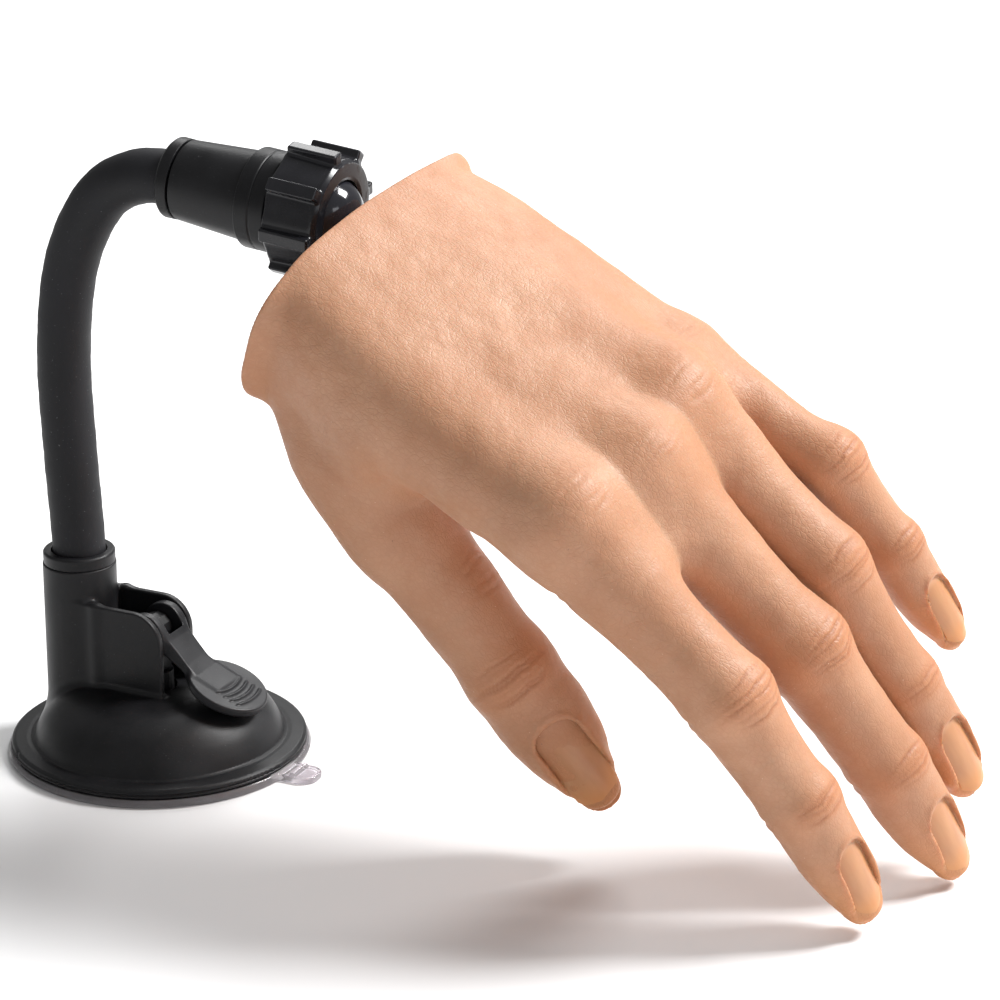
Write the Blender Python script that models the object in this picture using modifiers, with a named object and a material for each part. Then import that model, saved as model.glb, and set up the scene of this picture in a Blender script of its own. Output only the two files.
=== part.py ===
"""Nail-practice hand on a suction-cup gooseneck stand.

A soft silicone hand with a jointed armature is carried by a ball joint on a
flexible arm. The arm stands in a socket on a lever-locked suction base.
Units: metres in the scene, millimetres in the constants below. +Z is up, +X is
the direction in which the arm reaches out over the table, and the origin is
the centre of the suction pad's flat underside.
"""
import bpy
import bmesh
from math import cos, sin, tan, radians, pi, sqrt, atan2
from mathutils import Matrix, Vector

MM = 0.001
GAP = 0.3                      # working gap between pieces that touch

# ---------------------------------------------------------------- dimensions
PAD_R, PAD_T = 33.8, 1.6       # clear suction pad
TAB_OUT, TAB_W = 41.0, 8.0     # pull tab on the pad
FLANGE_R, FLANGE_TOP = 33.0, 4.2
DOME_R, DOME_TOP, DOME_TOP_R = 27.8, 15.2, 12.0
POST_X, POST_R, POST_TOP = -19.4, 8.2, 41.2
SOCKET_R, SOCKET_FLOOR = 7.2, 24.0
CHEEK_OUT, CHEEK_T, CHEEK_TOP, CHEEK_END, CHEEK_ROUND = 7.25, 1.6, 34.3, 5.2, 7.0
PIN_X, PIN_Z, PIN_R = -0.9, 28.1, 1.5
EAR_R, STROKE = 5.7, 1.4
STEM_HALF = 2.7
THUMB_R, THUMB_X, THUMB_Z, THUMB_T, THUMB_TILT = 9.2, 17.8, 18.5, 2.1, 23.0
ARM_R, ARM_BORE, CORE_R = 5.9, 3.7, 3.35
# design points of the flexible arm's centre line in the XZ plane
ARM_PATH = ((-19.4, 27.0), (-19.4, 46.0), (-20.6, 67.0), (-21.2, 90.0),
            (-18.2, 111.0), (-10.4, 126.0), (-0.5, 132.2), (11.0, 133.0))
ARM_JOINTS = 7
ARM_FIRST, ARM_LAST = 24.5, 6.0     # distance of the end joints from the ends
HEAD_AT = (11.5, 0.0, 132.9)        # where the head's axis starts
HEAD_DROP = 5.5                     # the head points this far below level
HEAD_R0, HEAD_R1, HEAD_LEN = 8.65, 9.75, 17.0
RING_R, NUT_REAR, NUT_FRONT = 10.8, 24.8, 37.2
NUT_R, RIB_R, RIBS = 12.9, 14.6, 8
BALL_S, BALL_R = 33.1, 8.3
STUD_R = 3.2

# hand: origin near the wrist; x towards the fingers, y to the little finger's
# side, z out of the back of the hand
HAND_AT = (32.6, -3.7, 131.7)
HAND_YAW, HAND_PITCH, HAND_ROLL = -5.92, 21.84, 24.24
WRIST_X = 24.65
# knuckle centre, bone lengths (last one reaches the middle of the fingertip's
# round), radii at knuckle / middle joint / end joint / tip, spread, bends
FINGERS = {
    "index": ((96.4, -26.2, -1.1), (48.3, 26.7, 27.6), (11.4, 9.6, 8.2, 4.6), 0.1, (25.5, 14.8, 4.0)),
    "middle": ((99.5, -5.8, -2.6), (50.5, 31.6, 28.1), (11.4, 9.8, 8.3, 4.6), -4.8, (31.2, 11.2, 2.5)),
    "ring": ((93.3, 14.0, -5.0), (46.6, 30.6, 28.1), (11.0, 9.3, 7.9, 4.6), -1.2, (25.0, 17.5, -0.7)),
    "little": ((85.9, 30.5, -14.6), (36.9, 22.5, 25.8), (9.8, 8.4, 7.1, 4.0), -2.9, (5.6, 31.8, 3.4)),
}
THUMB_ROOT = (18.3, -26.0, -4.0)
THUMB_LEN = (50.5, 37.9, 31.0)
THUMB_RAD = (13.0, 12.2, 10.6, 5.2)
THUMB_AZ, THUMB_EL, THUMB_ROLL, THUMB_BENDS = 3.5, 34.6, 2.0, (0.0, 0.0)
BEND_MAX = (60.0, 65.0, 45.0)       # largest bend of knuckle, middle, end joint
BEND_MIN = (-10.0, -6.0, -6.0)
THUMB_BEND_MAX, THUMB_BEND_MIN = 45.0, -14.0
LINK_R, LINK_H, LINK_W = 3.3, 2.2, 2.8   # hinge eye radius, bar half height, half width
TONGUE, SLOT = 1.1, 1.4                  # half thickness of tongue, half width of fork slot
POCKET, BORE = 4.7, 3.75                 # hollow in the skin round a joint, bore for the bars
SIDE = 0.88                              # fingers are this much narrower than deep
ROUND = 32                               # sides of the turned pieces

# ---------------------------------------------------------------- scene setup
for ob in list(bpy.data.objects):
    bpy.data.objects.remove(ob, do_unlink=True)
PARTS = bpy.data.collections.new("practice_hand_on_stand")
CUTTERS = bpy.data.collections.new("cutters")
bpy.context.scene.collection.children.link(PARTS)
bpy.context.scene.collection.children.link(CUTTERS)


def material(name, colour, rough, metal=0.0, alpha=1.0, transmission=0.0):
    m = bpy.data.materials.new(name)
    m.use_nodes = True
    b = m.node_tree.nodes["Principled BSDF"]
    b.inputs["Base Color"].default_value = (*colour, 1.0)
    b.inputs["Roughness"].default_value = rough
    b.inputs["Metallic"].default_value = metal
    b.inputs["Alpha"].default_value = alpha
    b.inputs["Transmission Weight"].default_value = transmission
    return m


def V(x, y, z):
    return Vector((x, y, z)) * MM


# ---------------------------------------------------------------- mesh helpers
def tidy(me, weld=1e-6):
    """Weld, make the faces point outwards and return the mesh."""
    bm = bmesh.new()
    bm.from_mesh(me)
    bmesh.ops.remove_doubles(bm, verts=bm.verts, dist=weld)
    bmesh.ops.recalc_face_normals(bm, faces=bm.faces)
    if bm.calc_volume(signed=True) < 0:
        bmesh.ops.reverse_faces(bm, faces=bm.faces)
    bm.to_mesh(me)
    bm.free()
    return me


def evaluated(ob):
    """The object's evaluated shape as a new mesh, in the object's own space."""
    bpy.context.view_layer.update()
    deps = bpy.context.evaluated_depsgraph_get()
    return bpy.data.meshes.new_from_object(ob.evaluated_get(deps))


def remove(*obs):
    for ob in obs:
        bpy.data.objects.remove(ob, do_unlink=True)


def helper(me):
    ob = bpy.data.objects.new("helper", me)
    ob.hide_render = True
    ob.display_type = "WIRE"
    CUTTERS.objects.link(ob)
    return ob


def boolean(me, *steps):
    """Apply Boolean steps ("DIFFERENCE" or "UNION", mesh) in order to a mesh."""
    base = helper(me)
    tools = []
    for op, tool in steps:
        t = helper(tool)
        tools.append(t)
        mod = base.modifiers.new("cut", "BOOLEAN")
        mod.operation = op
        mod.object = t
        mod.solver = "EXACT"
    out = tidy(evaluated(base))
    remove(base, *tools)
    return out


def bevelled(me, width, segments=2, angle=40.0):
    ob = helper(me)
    mod = ob.modifiers.new("round", "BEVEL")
    mod.width = width * MM
    mod.segments = segments
    mod.limit_method = "ANGLE"
    mod.angle_limit = radians(angle)
    out = tidy(evaluated(ob))
    remove(ob)
    return out


def from_bmesh(bm):
    me = bpy.data.meshes.new("shape")
    bm.to_mesh(me)
    bm.free()
    return me


def box(x0, x1, y0, y1, z0, z1):
    bm = bmesh.new()
    m = Matrix.Translation(V((x0 + x1) / 2, (y0 + y1) / 2, (z0 + z1) / 2))
    m = m @ Matrix.Diagonal(V(x1 - x0, y1 - y0, z1 - z0).to_4d()) 
    m[3][3] = 1.0
    bmesh.ops.create_cube(bm, size=1.0, matrix=m)
    return from_bmesh(bm)


def rod(r, p0, p1, sides=16, r2=None):
    """Cylinder or cone between two points."""
    a, b = Vector(p0) * MM, Vector(p1) * MM
    d = b - a
    q = Vector((0, 0, 1)).rotation_difference(d)
    m = Matrix.Translation((a + b) / 2) @ q.to_matrix().to_4x4()
    bm = bmesh.new()
    bmesh.ops.create_cone(bm, cap_ends=True, segments=sides, radius1=r * MM,
                          radius2=(r if r2 is None else r2) * MM, depth=d.length, matrix=m)
    return from_bmesh(bm)


def ball(r, c, u=16, v=8):
    bm = bmesh.new()
    bmesh.ops.create_uvsphere(bm, u_segments=u, v_segments=v, radius=r * MM,
                              matrix=Matrix.Translation(Vector(c) * MM))
    return from_bmesh(bm)


def turned(profile, sides=ROUND, ring=False):
    """Revolve (radius, height) points about Z. The profile runs down its outer
    side; ring=True closes it into a loop, for a piece with a hole."""
    me = bpy.data.meshes.new("profile")
    pts = [(r * MM, 0.0, z * MM) for r, z in profile]
    n = len(pts)
    edges = [(i, i + 1) for i in range(n - 1)] + ([(n - 1, 0)] if ring else [])
    me.from_pydata(pts, edges, [])
    ob = helper(me)
    mod = ob.modifiers.new("turn", "SCREW")
    mod.axis = "Z"
    mod.angle = 2 * pi
    mod.steps = sides
    mod.render_steps = sides
    mod.use_merge_vertices = True
    mod.merge_threshold = 0.00001
    out = tidy(evaluated(ob), 2e-6)
    remove(ob)
    return out


def extruded(outline, half):
    """Flat outline in the local XZ plane, thickened to +-half along Y."""
    cu = bpy.data.curves.new("outline", "CURVE")
    cu.dimensions = "2D"
    cu.fill_mode = "BOTH"
    cu.extrude = half * MM
    sp = cu.splines.new("POLY")
    sp.points.add(len(outline) - 1)
    for p, (x, z) in zip(sp.points, outline):
        p.co = (x * MM, z * MM, 0.0, 1.0)
    sp.use_cyclic_u = True
    ob = bpy.data.objects.new("outline", cu)
    CUTTERS.objects.link(ob)
    out = evaluated(ob)
    remove(ob)
    out.transform(Matrix.Rotation(radians(90), 4, "X"))
    return tidy(out)


def swept(points, r, resolution=3, caps=True):
    """Round tube along points, as a curve with a bevel."""
    cu = bpy.data.curves.new("path", "CURVE")
    cu.dimensions = "3D"
    cu.bevel_depth = r * MM
    cu.bevel_resolution = resolution
    cu.use_fill_caps = caps
    sp = cu.splines.new("POLY")
    sp.points.add(len(points) - 1)
    for p, q in zip(sp.points, points):
        p.co = (q[0] * MM, q[1] * MM, q[2] * MM, 1.0)
    ob = bpy.data.objects.new("path", cu)
    CUTTERS.objects.link(ob)
    out = evaluated(ob)
    remove(ob)
    return tidy(out) if caps else out


def hollow_tube(points, r_out, r_in, resolution=4):
    me = swept(points, r_out, resolution, caps=False)
    bm = bmesh.new()
    bm.from_mesh(me)
    bmesh.ops.remove_doubles(bm, verts=bm.verts, dist=1e-6)
    bm.to_mesh(me)
    bm.free()
    ob = helper(me)
    mod = ob.modifiers.new("wall", "SOLIDIFY")
    mod.thickness = (r_out - r_in) * MM
    mod.offset = -1.0
    out = tidy(evaluated(ob))
    remove(ob)
    return out


def loft(rings, closed=False):
    """Skin over rings of equal length; a ring of one point is a pole."""
    bm = bmesh.new()
    rows = [[bm.verts.new(Vector(p) * MM) for p in ring] for ring in rings]
    pairs = list(zip(rows, rows[1:])) + ([(rows[-1], rows[0])] if closed else [])
    for a, b in pairs:
        n = max(len(a), len(b))
        for i in range(n):
            j = (i + 1) % n
            if len(a) == 1:
                bm.faces.new((a[0], b[i], b[j]))
            elif len(b) == 1:
                bm.faces.new((a[i], b[0], a[j]))
            else:
                bm.faces.new((a[i], b[i], b[j], a[j]))
    return tidy(from_bmesh(bm))


# ---------------------------------------------------------------- placing
EMPTIES = {}


def joint_empty(name, matrix, parent=None):
    e = bpy.data.objects.new(name, None)
    e.empty_display_size = 0.005
    PARTS.objects.link(e)
    if parent:
        e.parent = EMPTIES[parent][0]
        e.matrix_basis = EMPTIES[parent][1].inverted() @ matrix
    else:
        e.matrix_basis = matrix
    EMPTIES[name] = (e, matrix)
    return name


def place(name, me, mat, matrix=None, parent=None, smooth=35.0):
    """Add a finished piece. Its mesh is in the space that matrix gives."""
    matrix = matrix or Matrix.Identity(4)
    me.name = name
    me.materials.clear()
    me.materials.append(mat)
    me.shade_smooth()
    me.set_sharp_from_angle(angle=radians(smooth))
    ob = bpy.data.objects.new(name, me)
    PARTS.objects.link(ob)
    if parent:
        ob.parent = EMPTIES[parent][0]
        ob.matrix_basis = EMPTIES[parent][1].inverted() @ matrix
    else:
        ob.matrix_basis = matrix
    return ob


def frame(origin, x, z):
    """Matrix whose X and Z axes are near x and z, at origin (mm)."""
    x = Vector(x).normalized()
    y = Vector(z).cross(x).normalized()
    z = x.cross(y)
    m = Matrix((x, y, z)).transposed().to_4x4()
    m.translation = Vector(origin) * MM
    return m


BLACK = material("moulded_black", (0.012, 0.012, 0.014), 0.42)
GLOSS = material("gloss_black", (0.010, 0.010, 0.012), 0.22)
RUBBER = material("black_rubber", (0.014, 0.014, 0.016), 0.62)
CLEAR = material("clear_pad", (0.82, 0.80, 0.83), 0.18, alpha=0.55, transmission=0.6)
STEEL = material("zinc_steel", (0.55, 0.55, 0.57), 0.35, 1.0)
NYLON = material("white_nylon", (0.78, 0.77, 0.72), 0.5)
SKIN = material("silicone_skin", (0.64, 0.36, 0.22), 0.5)

# ================================================================ base
# ---- pad with pull tab
pad = turned([(0, PAD_T), (PAD_R - 0.6, PAD_T), (PAD_R, PAD_T - 0.5), (PAD_R, 0.4), (PAD_R - 0.5, 0), (0, 0)], 48)
tab_y = -1.0
tab = [(28, tab_y - TAB_W / 2), (TAB_OUT - 3.0, tab_y - TAB_W / 2)]
tab += [(TAB_OUT - 3.0 + 3.0 * sin(a), tab_y + (TAB_W / 2 - 3.0) * s - 3.0 * cos(a) * 1.0)
        for s, a in [(-1, radians(t)) for t in (30, 60, 90)] + [(1, radians(t)) for t in (90, 120, 150)]]
tab += [(TAB_OUT - 3.0, tab_y + TAB_W / 2), (28, tab_y + TAB_W / 2)]
tab_mesh = extruded(tab, 0.55)
tab_mesh.transform(Matrix.Translation(V(0, 0, 0.75)) @ Matrix.Rotation(radians(-90), 4, "X"))
bar = box(35.4, 36.7, tab_y - 3.4, tab_y + 3.4, 0.9, 2.2)
pad = boolean(pad, ("UNION", tab_mesh), ("UNION", bar))
place("suction_pad", pad, CLEAR)

# ---- housing: flange, dome, arm socket and the two cheeks in one moulding
housing = turned([
    (12.0, DOME_TOP), (16.0, 14.8), (19.5, 13.8), (22.6, 12.0), (25.0, 9.6), (26.7, 7.0), (DOME_R, FLANGE_TOP + 0.1),
    (29.4, FLANGE_TOP - 0.2), (FLANGE_R - 0.6, FLANGE_TOP - 0.3), (FLANGE_R, FLANGE_TOP - 0.8), (FLANGE_R, PAD_T + 0.7), (FLANGE_R - 0.4, PAD_T + GAP),
    (25.6, PAD_T + GAP), (25.2, 4.6), (23.6, 7.8), (20.6, 10.4), (16.5, 12.0), (12.0, 12.8), (4.2, 12.8), (4.2, DOME_TOP)], 36, ring=True)
post = rod(POST_R, (POST_X, 0, 3.0), (POST_X, 0, POST_TOP), 28)


def cheek_outline():
    pts = [(POST_X, 12.5), (CHEEK_END, 12.5)]
    for k in range(7):
        a = radians(15 * k)
        pts.append((CHEEK_END - CHEEK_ROUND + CHEEK_ROUND * cos(a), CHEEK_TOP - CHEEK_ROUND + CHEEK_ROUND * sin(a)))
    pts.append((POST_X, CHEEK_TOP))
    return pts


def cheek(side):
    me = extruded(cheek_outline(), CHEEK_T / 2)
    me.transform(Matrix.Translation(V(0, side * (CHEEK_OUT - CHEEK_T / 2), 0)))
    return me


housing = boolean(housing, ("UNION", post), ("UNION", cheek(1)), ("UNION", cheek(-1)),
                  ("DIFFERENCE", rod(SOCKET_R, (POST_X, 0, SOCKET_FLOOR), (POST_X, 0, POST_TOP + 5), 20)))
place("base_housing", housing, BLACK)

# ---- stem: foot on the pad, round shank through the dome, block between the ears
stem = turned([(0, 19.0), (3.6, 19.0), (3.6, 4.4), (8.5, 3.7), (8.5, PAD_T + GAP), (0, PAD_T + GAP)], 24)
block = [(-3.3, 17.5), (1.9, 17.5), (PIN_X + 3.5, PIN_Z)]
block += [(PIN_X + 3.5 * cos(radians(a)), PIN_Z + 3.5 * sin(radians(a))) for a in (30, 60, 90, 120, 150)] + [(PIN_X - 3.5, PIN_Z)]
stem = boolean(stem, ("UNION", extruded(block, STEM_HALF)),
               ("DIFFERENCE", rod(PIN_R + 0.15, (PIN_X, -9, PIN_Z), (PIN_X, 9, PIN_Z), 16)))
joint_empty("stem_axis", Matrix.Translation(V(0, 0, PAD_T)))
place("pad_stem", stem, BLACK, parent="stem_axis")

# ---- spring between the dome's inside and the stem's foot
coil = []
turns, top, bottom = 3.0, 12.0, 5.3
for k in range(int(turns * 12) + 1):
    t = k / (turns * 12)
    a = 2 * pi * turns * t
    coil.append((5.6 * cos(a), 5.6 * sin(a), bottom + (top - bottom) * t))
place("return_spring", swept(coil, 0.5, 1), STEEL)

# ---- lever: two cam ears on the pin, neck and round thumb pad
lever_at = Matrix.Translation(V(PIN_X, 0, PIN_Z))
joint_empty("lever_axis", lever_at, "stem_axis")


def ear_radius(deg):
    """Cam rise: full radius on the neck's side and below, less as it turns up."""
    if -170.0 <= deg <= -90.0:
        return EAR_R - STROKE * (-90.0 - deg) / 80.0
    if deg < -170.0 or deg > 150.0:
        return EAR_R - STROKE
    if deg > 60.0:
        return EAR_R - STROKE * (deg - 60.0) / 90.0
    return EAR_R


ears = [(ear_radius(d) * cos(radians(d)), ear_radius(d) * sin(radians(d))) for d in range(-180, 180, 20)]
lever = extruded(ears, 5.3)
th = radians(THUMB_TILT)
tx, tz = THUMB_X - PIN_X, THUMB_Z - THUMB_T / 2 - PIN_Z
neck = [(3.0, 3.6), (5.2, 1.6), (tx - 5.5, tz + 5.5 * tan(th) + 0.9), (tx, tz + 0.9), (tx, tz - 0.9),
        (tx - 6.5, tz + 6.5 * tan(th) - 0.9), (4.2, -2.6), (2.0, -3.4)]
pad_disc = turned([(0, THUMB_T / 2), (THUMB_R - 0.5, THUMB_T / 2), (THUMB_R, THUMB_T / 2 - 0.5), (THUMB_R, -THUMB_T / 2 + 0.4), (THUMB_R - 0.5, -THUMB_T / 2), (0, -THUMB_T / 2)], 32)
pad_disc.transform(Matrix.Translation(V(tx, 0, tz)) @ Matrix.Rotation(th, 4, "Y"))
neck_mesh = extruded(neck, 5.0)
lever = boolean(lever, ("UNION", neck_mesh), ("UNION", pad_disc),
                ("DIFFERENCE", box(-8, 5.9, -STEM_HALF - 0.35, STEM_HALF + 0.35, -8, 8)),
                ("DIFFERENCE", rod(PIN_R + 0.15, (0, -9, 0), (0, 9, 0), 16)))
place("lock_lever", lever, BLACK, lever_at, "lever_axis")
place("lever_pin", rod(PIN_R, (0, -5.2, 0), (0, 5.2, 0), 16), STEEL, lever_at, "stem_axis")

# ================================================================ flexible arm
def catmull(points, per=16):
    """Smooth curve through design points, with its running length."""
    p = [Vector((x, 0.0, z)) for x, z in points]
    p = [2 * p[0] - p[1]] + p + [2 * p[-1] - p[-2]]
    out = []
    for i in range(1, len(p) - 2):
        for k in range(per):
            t = k / per
            out.append(0.5 * ((2 * p[i]) + (p[i + 1] - p[i - 1]) * t + (2 * p[i - 1] - 5 * p[i] + 4 * p[i + 1] - p[i + 2]) * t * t
                              + (3 * p[i] - p[i - 1] - 3 * p[i + 1] + p[i + 2]) * t ** 3))
    out.append(p[-2])
    run = [0.0]
    for a, b in zip(out, out[1:]):
        run.append(run[-1] + (b - a).length)
    return out, run


ARM, RUN = catmull(ARM_PATH)


def arm_point(s):
    for k in range(1, len(RUN)):
        if RUN[k] >= s or k == len(RUN) - 1:
            t = (s - RUN[k - 1]) / (RUN[k] - RUN[k - 1])
            return ARM[k - 1].lerp(ARM[k], t)


def arm_matrix(s):
    d = (arm_point(s + 0.5) - arm_point(s - 0.5)).normalized()
    y = Vector((0, 1, 0))
    m = Matrix((y.cross(d), y, d)).transposed().to_4x4()
    m.translation = arm_point(s) * MM
    return m


S0, S1 = ARM_FIRST, RUN[-1] - ARM_LAST
STEP = (S1 - S0) / (ARM_JOINTS - 1)
JOINT_S = [S0 + STEP * k for k in range(ARM_JOINTS)]
for k, s in enumerate(JOINT_S):
    joint_empty("arm_joint_%d" % (k + 1), arm_matrix(s), "arm_joint_%d" % k if k else None)


def arm_piece(s0, s1, count):
    return [tuple(arm_point(s0 + (s1 - s0) * k / count)) for k in range(count + 1)]


END = 1.1                          # each sleeve stops this far from its joint
SPANS = [(0.0, JOINT_S[0] - END)] + [(a + END, b - END) for a, b in zip(JOINT_S, JOINT_S[1:])]
for k, (a, b) in enumerate(SPANS):
    owner = "arm_joint_%d" % k if k else None
    steps = 3 if k < 4 else 4
    place("arm_sleeve_%d" % k, hollow_tube(arm_piece(a, b, steps), ARM_R, ARM_BORE), RUBBER, parent=owner)
    place("arm_core_%d" % k, swept(arm_piece(a + (0.2 if k else 0.6), b - 0.2, steps), CORE_R, 2), STEEL, parent=owner)
HEAD_OWNER = "arm_joint_%d" % ARM_JOINTS

# the last short stretch of the arm turns with the head
tail0 = JOINT_S[-1] + END
place("arm_sleeve_%d" % ARM_JOINTS, hollow_tube(arm_piece(tail0, RUN[-1] + 1.5, 2), ARM_R, ARM_BORE), RUBBER, parent=HEAD_OWNER)

# ---- lower bush in the post: barrel below, flange on top
lower = turned([(POST_R - 0.5, POST_TOP + 3.1), (POST_R - 0.2, POST_TOP + 2.7), (POST_R - 0.2, POST_TOP + GAP), (SOCKET_R - GAP, POST_TOP + GAP),
                (SOCKET_R - GAP, POST_TOP - 9.0), (ARM_R + GAP, POST_TOP - 9.0), (ARM_R + GAP, POST_TOP + 3.1)], ROUND, ring=True)
lower = boolean(lower, ("DIFFERENCE", box(-10, -4, -0.25, 0.25, -6 + POST_TOP, 10 + POST_TOP)))
lower.transform(Matrix.Translation(V(POST_X, 0, 0)) @ Matrix.Rotation(radians(-30), 4, "Z"))
place("lower_bush", lower, BLACK)

# ================================================================ head
hd = radians(HEAD_DROP)
HEAD = frame(HEAD_AT, (sin(hd), 0, cos(hd)), (cos(hd), 0, -sin(hd)))   # local Z is the head's axis
upper = turned([(HEAD_R0 + 0.1, -0.6), (HEAD_R0 + 0.1, -2.9), (HEAD_R0 - 0.6, -3.4), (ARM_R + 0.35, -3.4), (ARM_R + 0.35, -0.6)][::-1], ROUND, ring=True)
upper = boolean(upper, ("DIFFERENCE", box(-12, -4, -0.25, 0.25, -6, 10)))
place("upper_bush", upper, BLACK, HEAD, HEAD_OWNER)

socket = turned([(ARM_R + 0.45, 0.0), (HEAD_R0 - 0.3, 0.0), (HEAD_R0, 0.3), (HEAD_R1, HEAD_LEN), (RING_R - 0.3, HEAD_LEN), (RING_R, HEAD_LEN + 0.3), (RING_R, 24.0), (9.9, 24.2), (9.9, 27.0),
                 (4.0, 27.0), (4.0, 8.0), (ARM_R + 0.45, 8.0)][::-1], ROUND, ring=True)
socket = boolean(socket, ("DIFFERENCE", ball(BALL_R + 0.5, (0, 0, BALL_S), 20, 10)))
place("head_socket", socket, BLACK, HEAD, HEAD_OWNER)

# split collet that grips the ball
seat = []
for k in range(7):
    a = radians(-44 + 44 * k / 6)
    seat.append(((BALL_R + 0.3) * cos(a), BALL_S + (BALL_R + 0.3) * sin(a)))
collet = turned([(10.0, 27.3)] + seat + [(10.0, BALL_S)], ROUND, ring=True)
collet = boolean(collet, ("DIFFERENCE", box(-12, 12, -0.4, 0.4, 29.5, 36)), ("DIFFERENCE", box(-0.4, 0.4, -12, 12, 29.5, 36)))
place("ball_collet", collet, NYLON, HEAD, HEAD_OWNER)

# clamp nut: body with eight ribs
nut = turned([(10.35, NUT_REAR), (NUT_R, NUT_REAR), (NUT_R + 0.1, NUT_REAR + 0.5), (NUT_R - 0.5, NUT_FRONT - 0.9), (NUT_R - 1.3, NUT_FRONT), (7.8, NUT_FRONT), (8.25, 36.2), (8.85, 34.3), (10.35, 33.6)][::-1], 40, ring=True)
nut_axis = HEAD @ Matrix.Translation(V(0, 0, 0))
steps = []
for k in range(RIBS):
    rib = box(NUT_R - 1.6, RIB_R, -1.25, 1.25, NUT_REAR + 0.2, NUT_FRONT - 0.6)
    rib.transform(Matrix.Rotation(2 * pi * (k + 0.25) / RIBS, 4, "Z"))
    steps.append(("UNION", rib))
nut = boolean(nut, *steps)
joint_empty("nut_axis", HEAD, HEAD_OWNER)
place("clamp_nut", nut, GLOSS, HEAD, "nut_axis")

# ---- ball and stud
BALL_AT = HEAD @ V(0, 0, BALL_S)
HAND = (Matrix.Translation(V(*HAND_AT)) @ Matrix.Rotation(radians(HAND_YAW), 4, "Z")
        @ Matrix.Rotation(radians(HAND_PITCH), 4, "Y") @ Matrix.Rotation(radians(HAND_ROLL), 4, "X"))
stud_local = HAND.inverted() @ BALL_AT            # the ball's centre in the hand's frame
BX, BY, BZ = (c / MM for c in stud_local)
BALL_M = HAND @ Matrix.Translation(stud_local)
joint_empty("ball_tilt", BALL_M, HEAD_OWNER)
joint_empty("ball_swing", BALL_M, "ball_tilt")
joint_empty("hand_roll", BALL_M, "ball_swing")
place("joint_ball", ball(BALL_R, (0, 0, 0), 24, 12), GLOSS, BALL_M, "ball_tilt")
WALL = WRIST_X - BX                                # from the ball's centre to the wrist face
NUT_X = 38.0 - BX                                  # where the nut sits on the shank
def along_x(profile, sides=24, ring=False):
    me = turned(profile, sides, ring)
    me.transform(Matrix.Rotation(radians(90), 4, "Y"))
    return me
stud = along_x([(0, NUT_X + 5.2), (2.2, NUT_X + 5.2), (2.5, NUT_X + 4.8), (2.5, WALL - 0.3), (7.0, WALL - 0.3), (7.4, WALL - 0.7), (7.4, WALL - 1.7),
                (STUD_R + 1.2, WALL - 2.3), (STUD_R, WALL - 4.0), (STUD_R - 0.4, BALL_R + 0.35), (0, BALL_R + 0.35)])
place("ball_stud", stud, GLOSS, BALL_M, "ball_swing")

# ================================================================ hand armature
def arc(cx, cz, r, a0, a1, n):
    return [(cx + r * cos(radians(a0 + (a1 - a0) * k / n)), cz + r * sin(radians(a0 + (a1 - a0) * k / n))) for k in range(n + 1)]


def bone(length, tongue=True, fork=True):
    """Bar from joint to joint: a tongue with trunnions at the near end, a fork
    at the far end. Its X axis runs along the bar and its hinges turn about Y."""
    if tongue:
        out = [(3.6, LINK_H)] + arc(0, 0, LINK_R, 48, 312, 6) + [(3.6, -LINK_H)]
    else:
        out = [(0, LINK_H), (0, -LINK_H)]
    if fork:
        out = out + [(length - 3.6, -LINK_H)] + arc(length, 0, LINK_R, -132, 132, 6) + [(length - 3.6, LINK_H)]
    else:
        out = out + [(length - 2, -LINK_H)] + arc(length - 1.6, 0, 1.6, -90, 90, 3) + [(length - 2, LINK_H)]
    me = extruded(out, LINK_W)
    steps = []
    if tongue:
        for side in (1, -1):
            steps.append(("DIFFERENCE", rod(LINK_R + 0.6, (0, side * TONGUE, 0), (0, side * (LINK_W + 1), 0), 10)))
        steps.append(("UNION", rod(0.9, (0, -LINK_W, 0), (0, LINK_W, 0), 6)))
    if fork:
        steps.append(("DIFFERENCE", rod(LINK_R + 0.6, (length, -SLOT, 0), (length, SLOT, 0), 10)))
        steps.append(("DIFFERENCE", rod(1.25, (length, -LINK_W - 1, 0), (length, LINK_W + 1, 0), 8)))
    return boolean(me, *steps)


def finger_frames(spec):
    """Frames of a finger's joints in the hand's frame, and of its tip."""
    (x, y, z), lengths, _, spread, bends = spec
    m = Matrix.Translation(V(x, y, z)) @ Matrix.Rotation(radians(-spread), 4, "Z")
    out = []
    for bend, length in zip(bends, lengths):
        m = m @ Matrix.Rotation(radians(bend), 4, "Y")
        out.append(m)
        m = m @ Matrix.Translation(V(length, 0, 0))
    return out + [m]


def thumb_frames():
    az, el = radians(THUMB_AZ), radians(THUMB_EL)
    d = Vector((cos(el) * cos(az), -cos(el) * sin(az), -sin(el)))
    up = Vector((0, 0, 1))
    n = (up - up.dot(d) * d).normalized()
    n = Matrix.Rotation(radians(THUMB_ROLL), 3, d) @ n
    m = frame(THUMB_ROOT, d, n)
    out = [m]
    for bend, length in zip(THUMB_BENDS + (0.0,), THUMB_LEN):
        m = m @ Matrix.Translation(V(length, 0, 0))
        if len(out) < 3:
            m = m @ Matrix.Rotation(radians(bend), 4, "Y")
        out.append(m)
    return out


FRAMES = {name: finger_frames(spec) for name, spec in FINGERS.items()}
THUMB = thumb_frames()
PLATE_END, PLATE_Z = 64.0, -1.0

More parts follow.
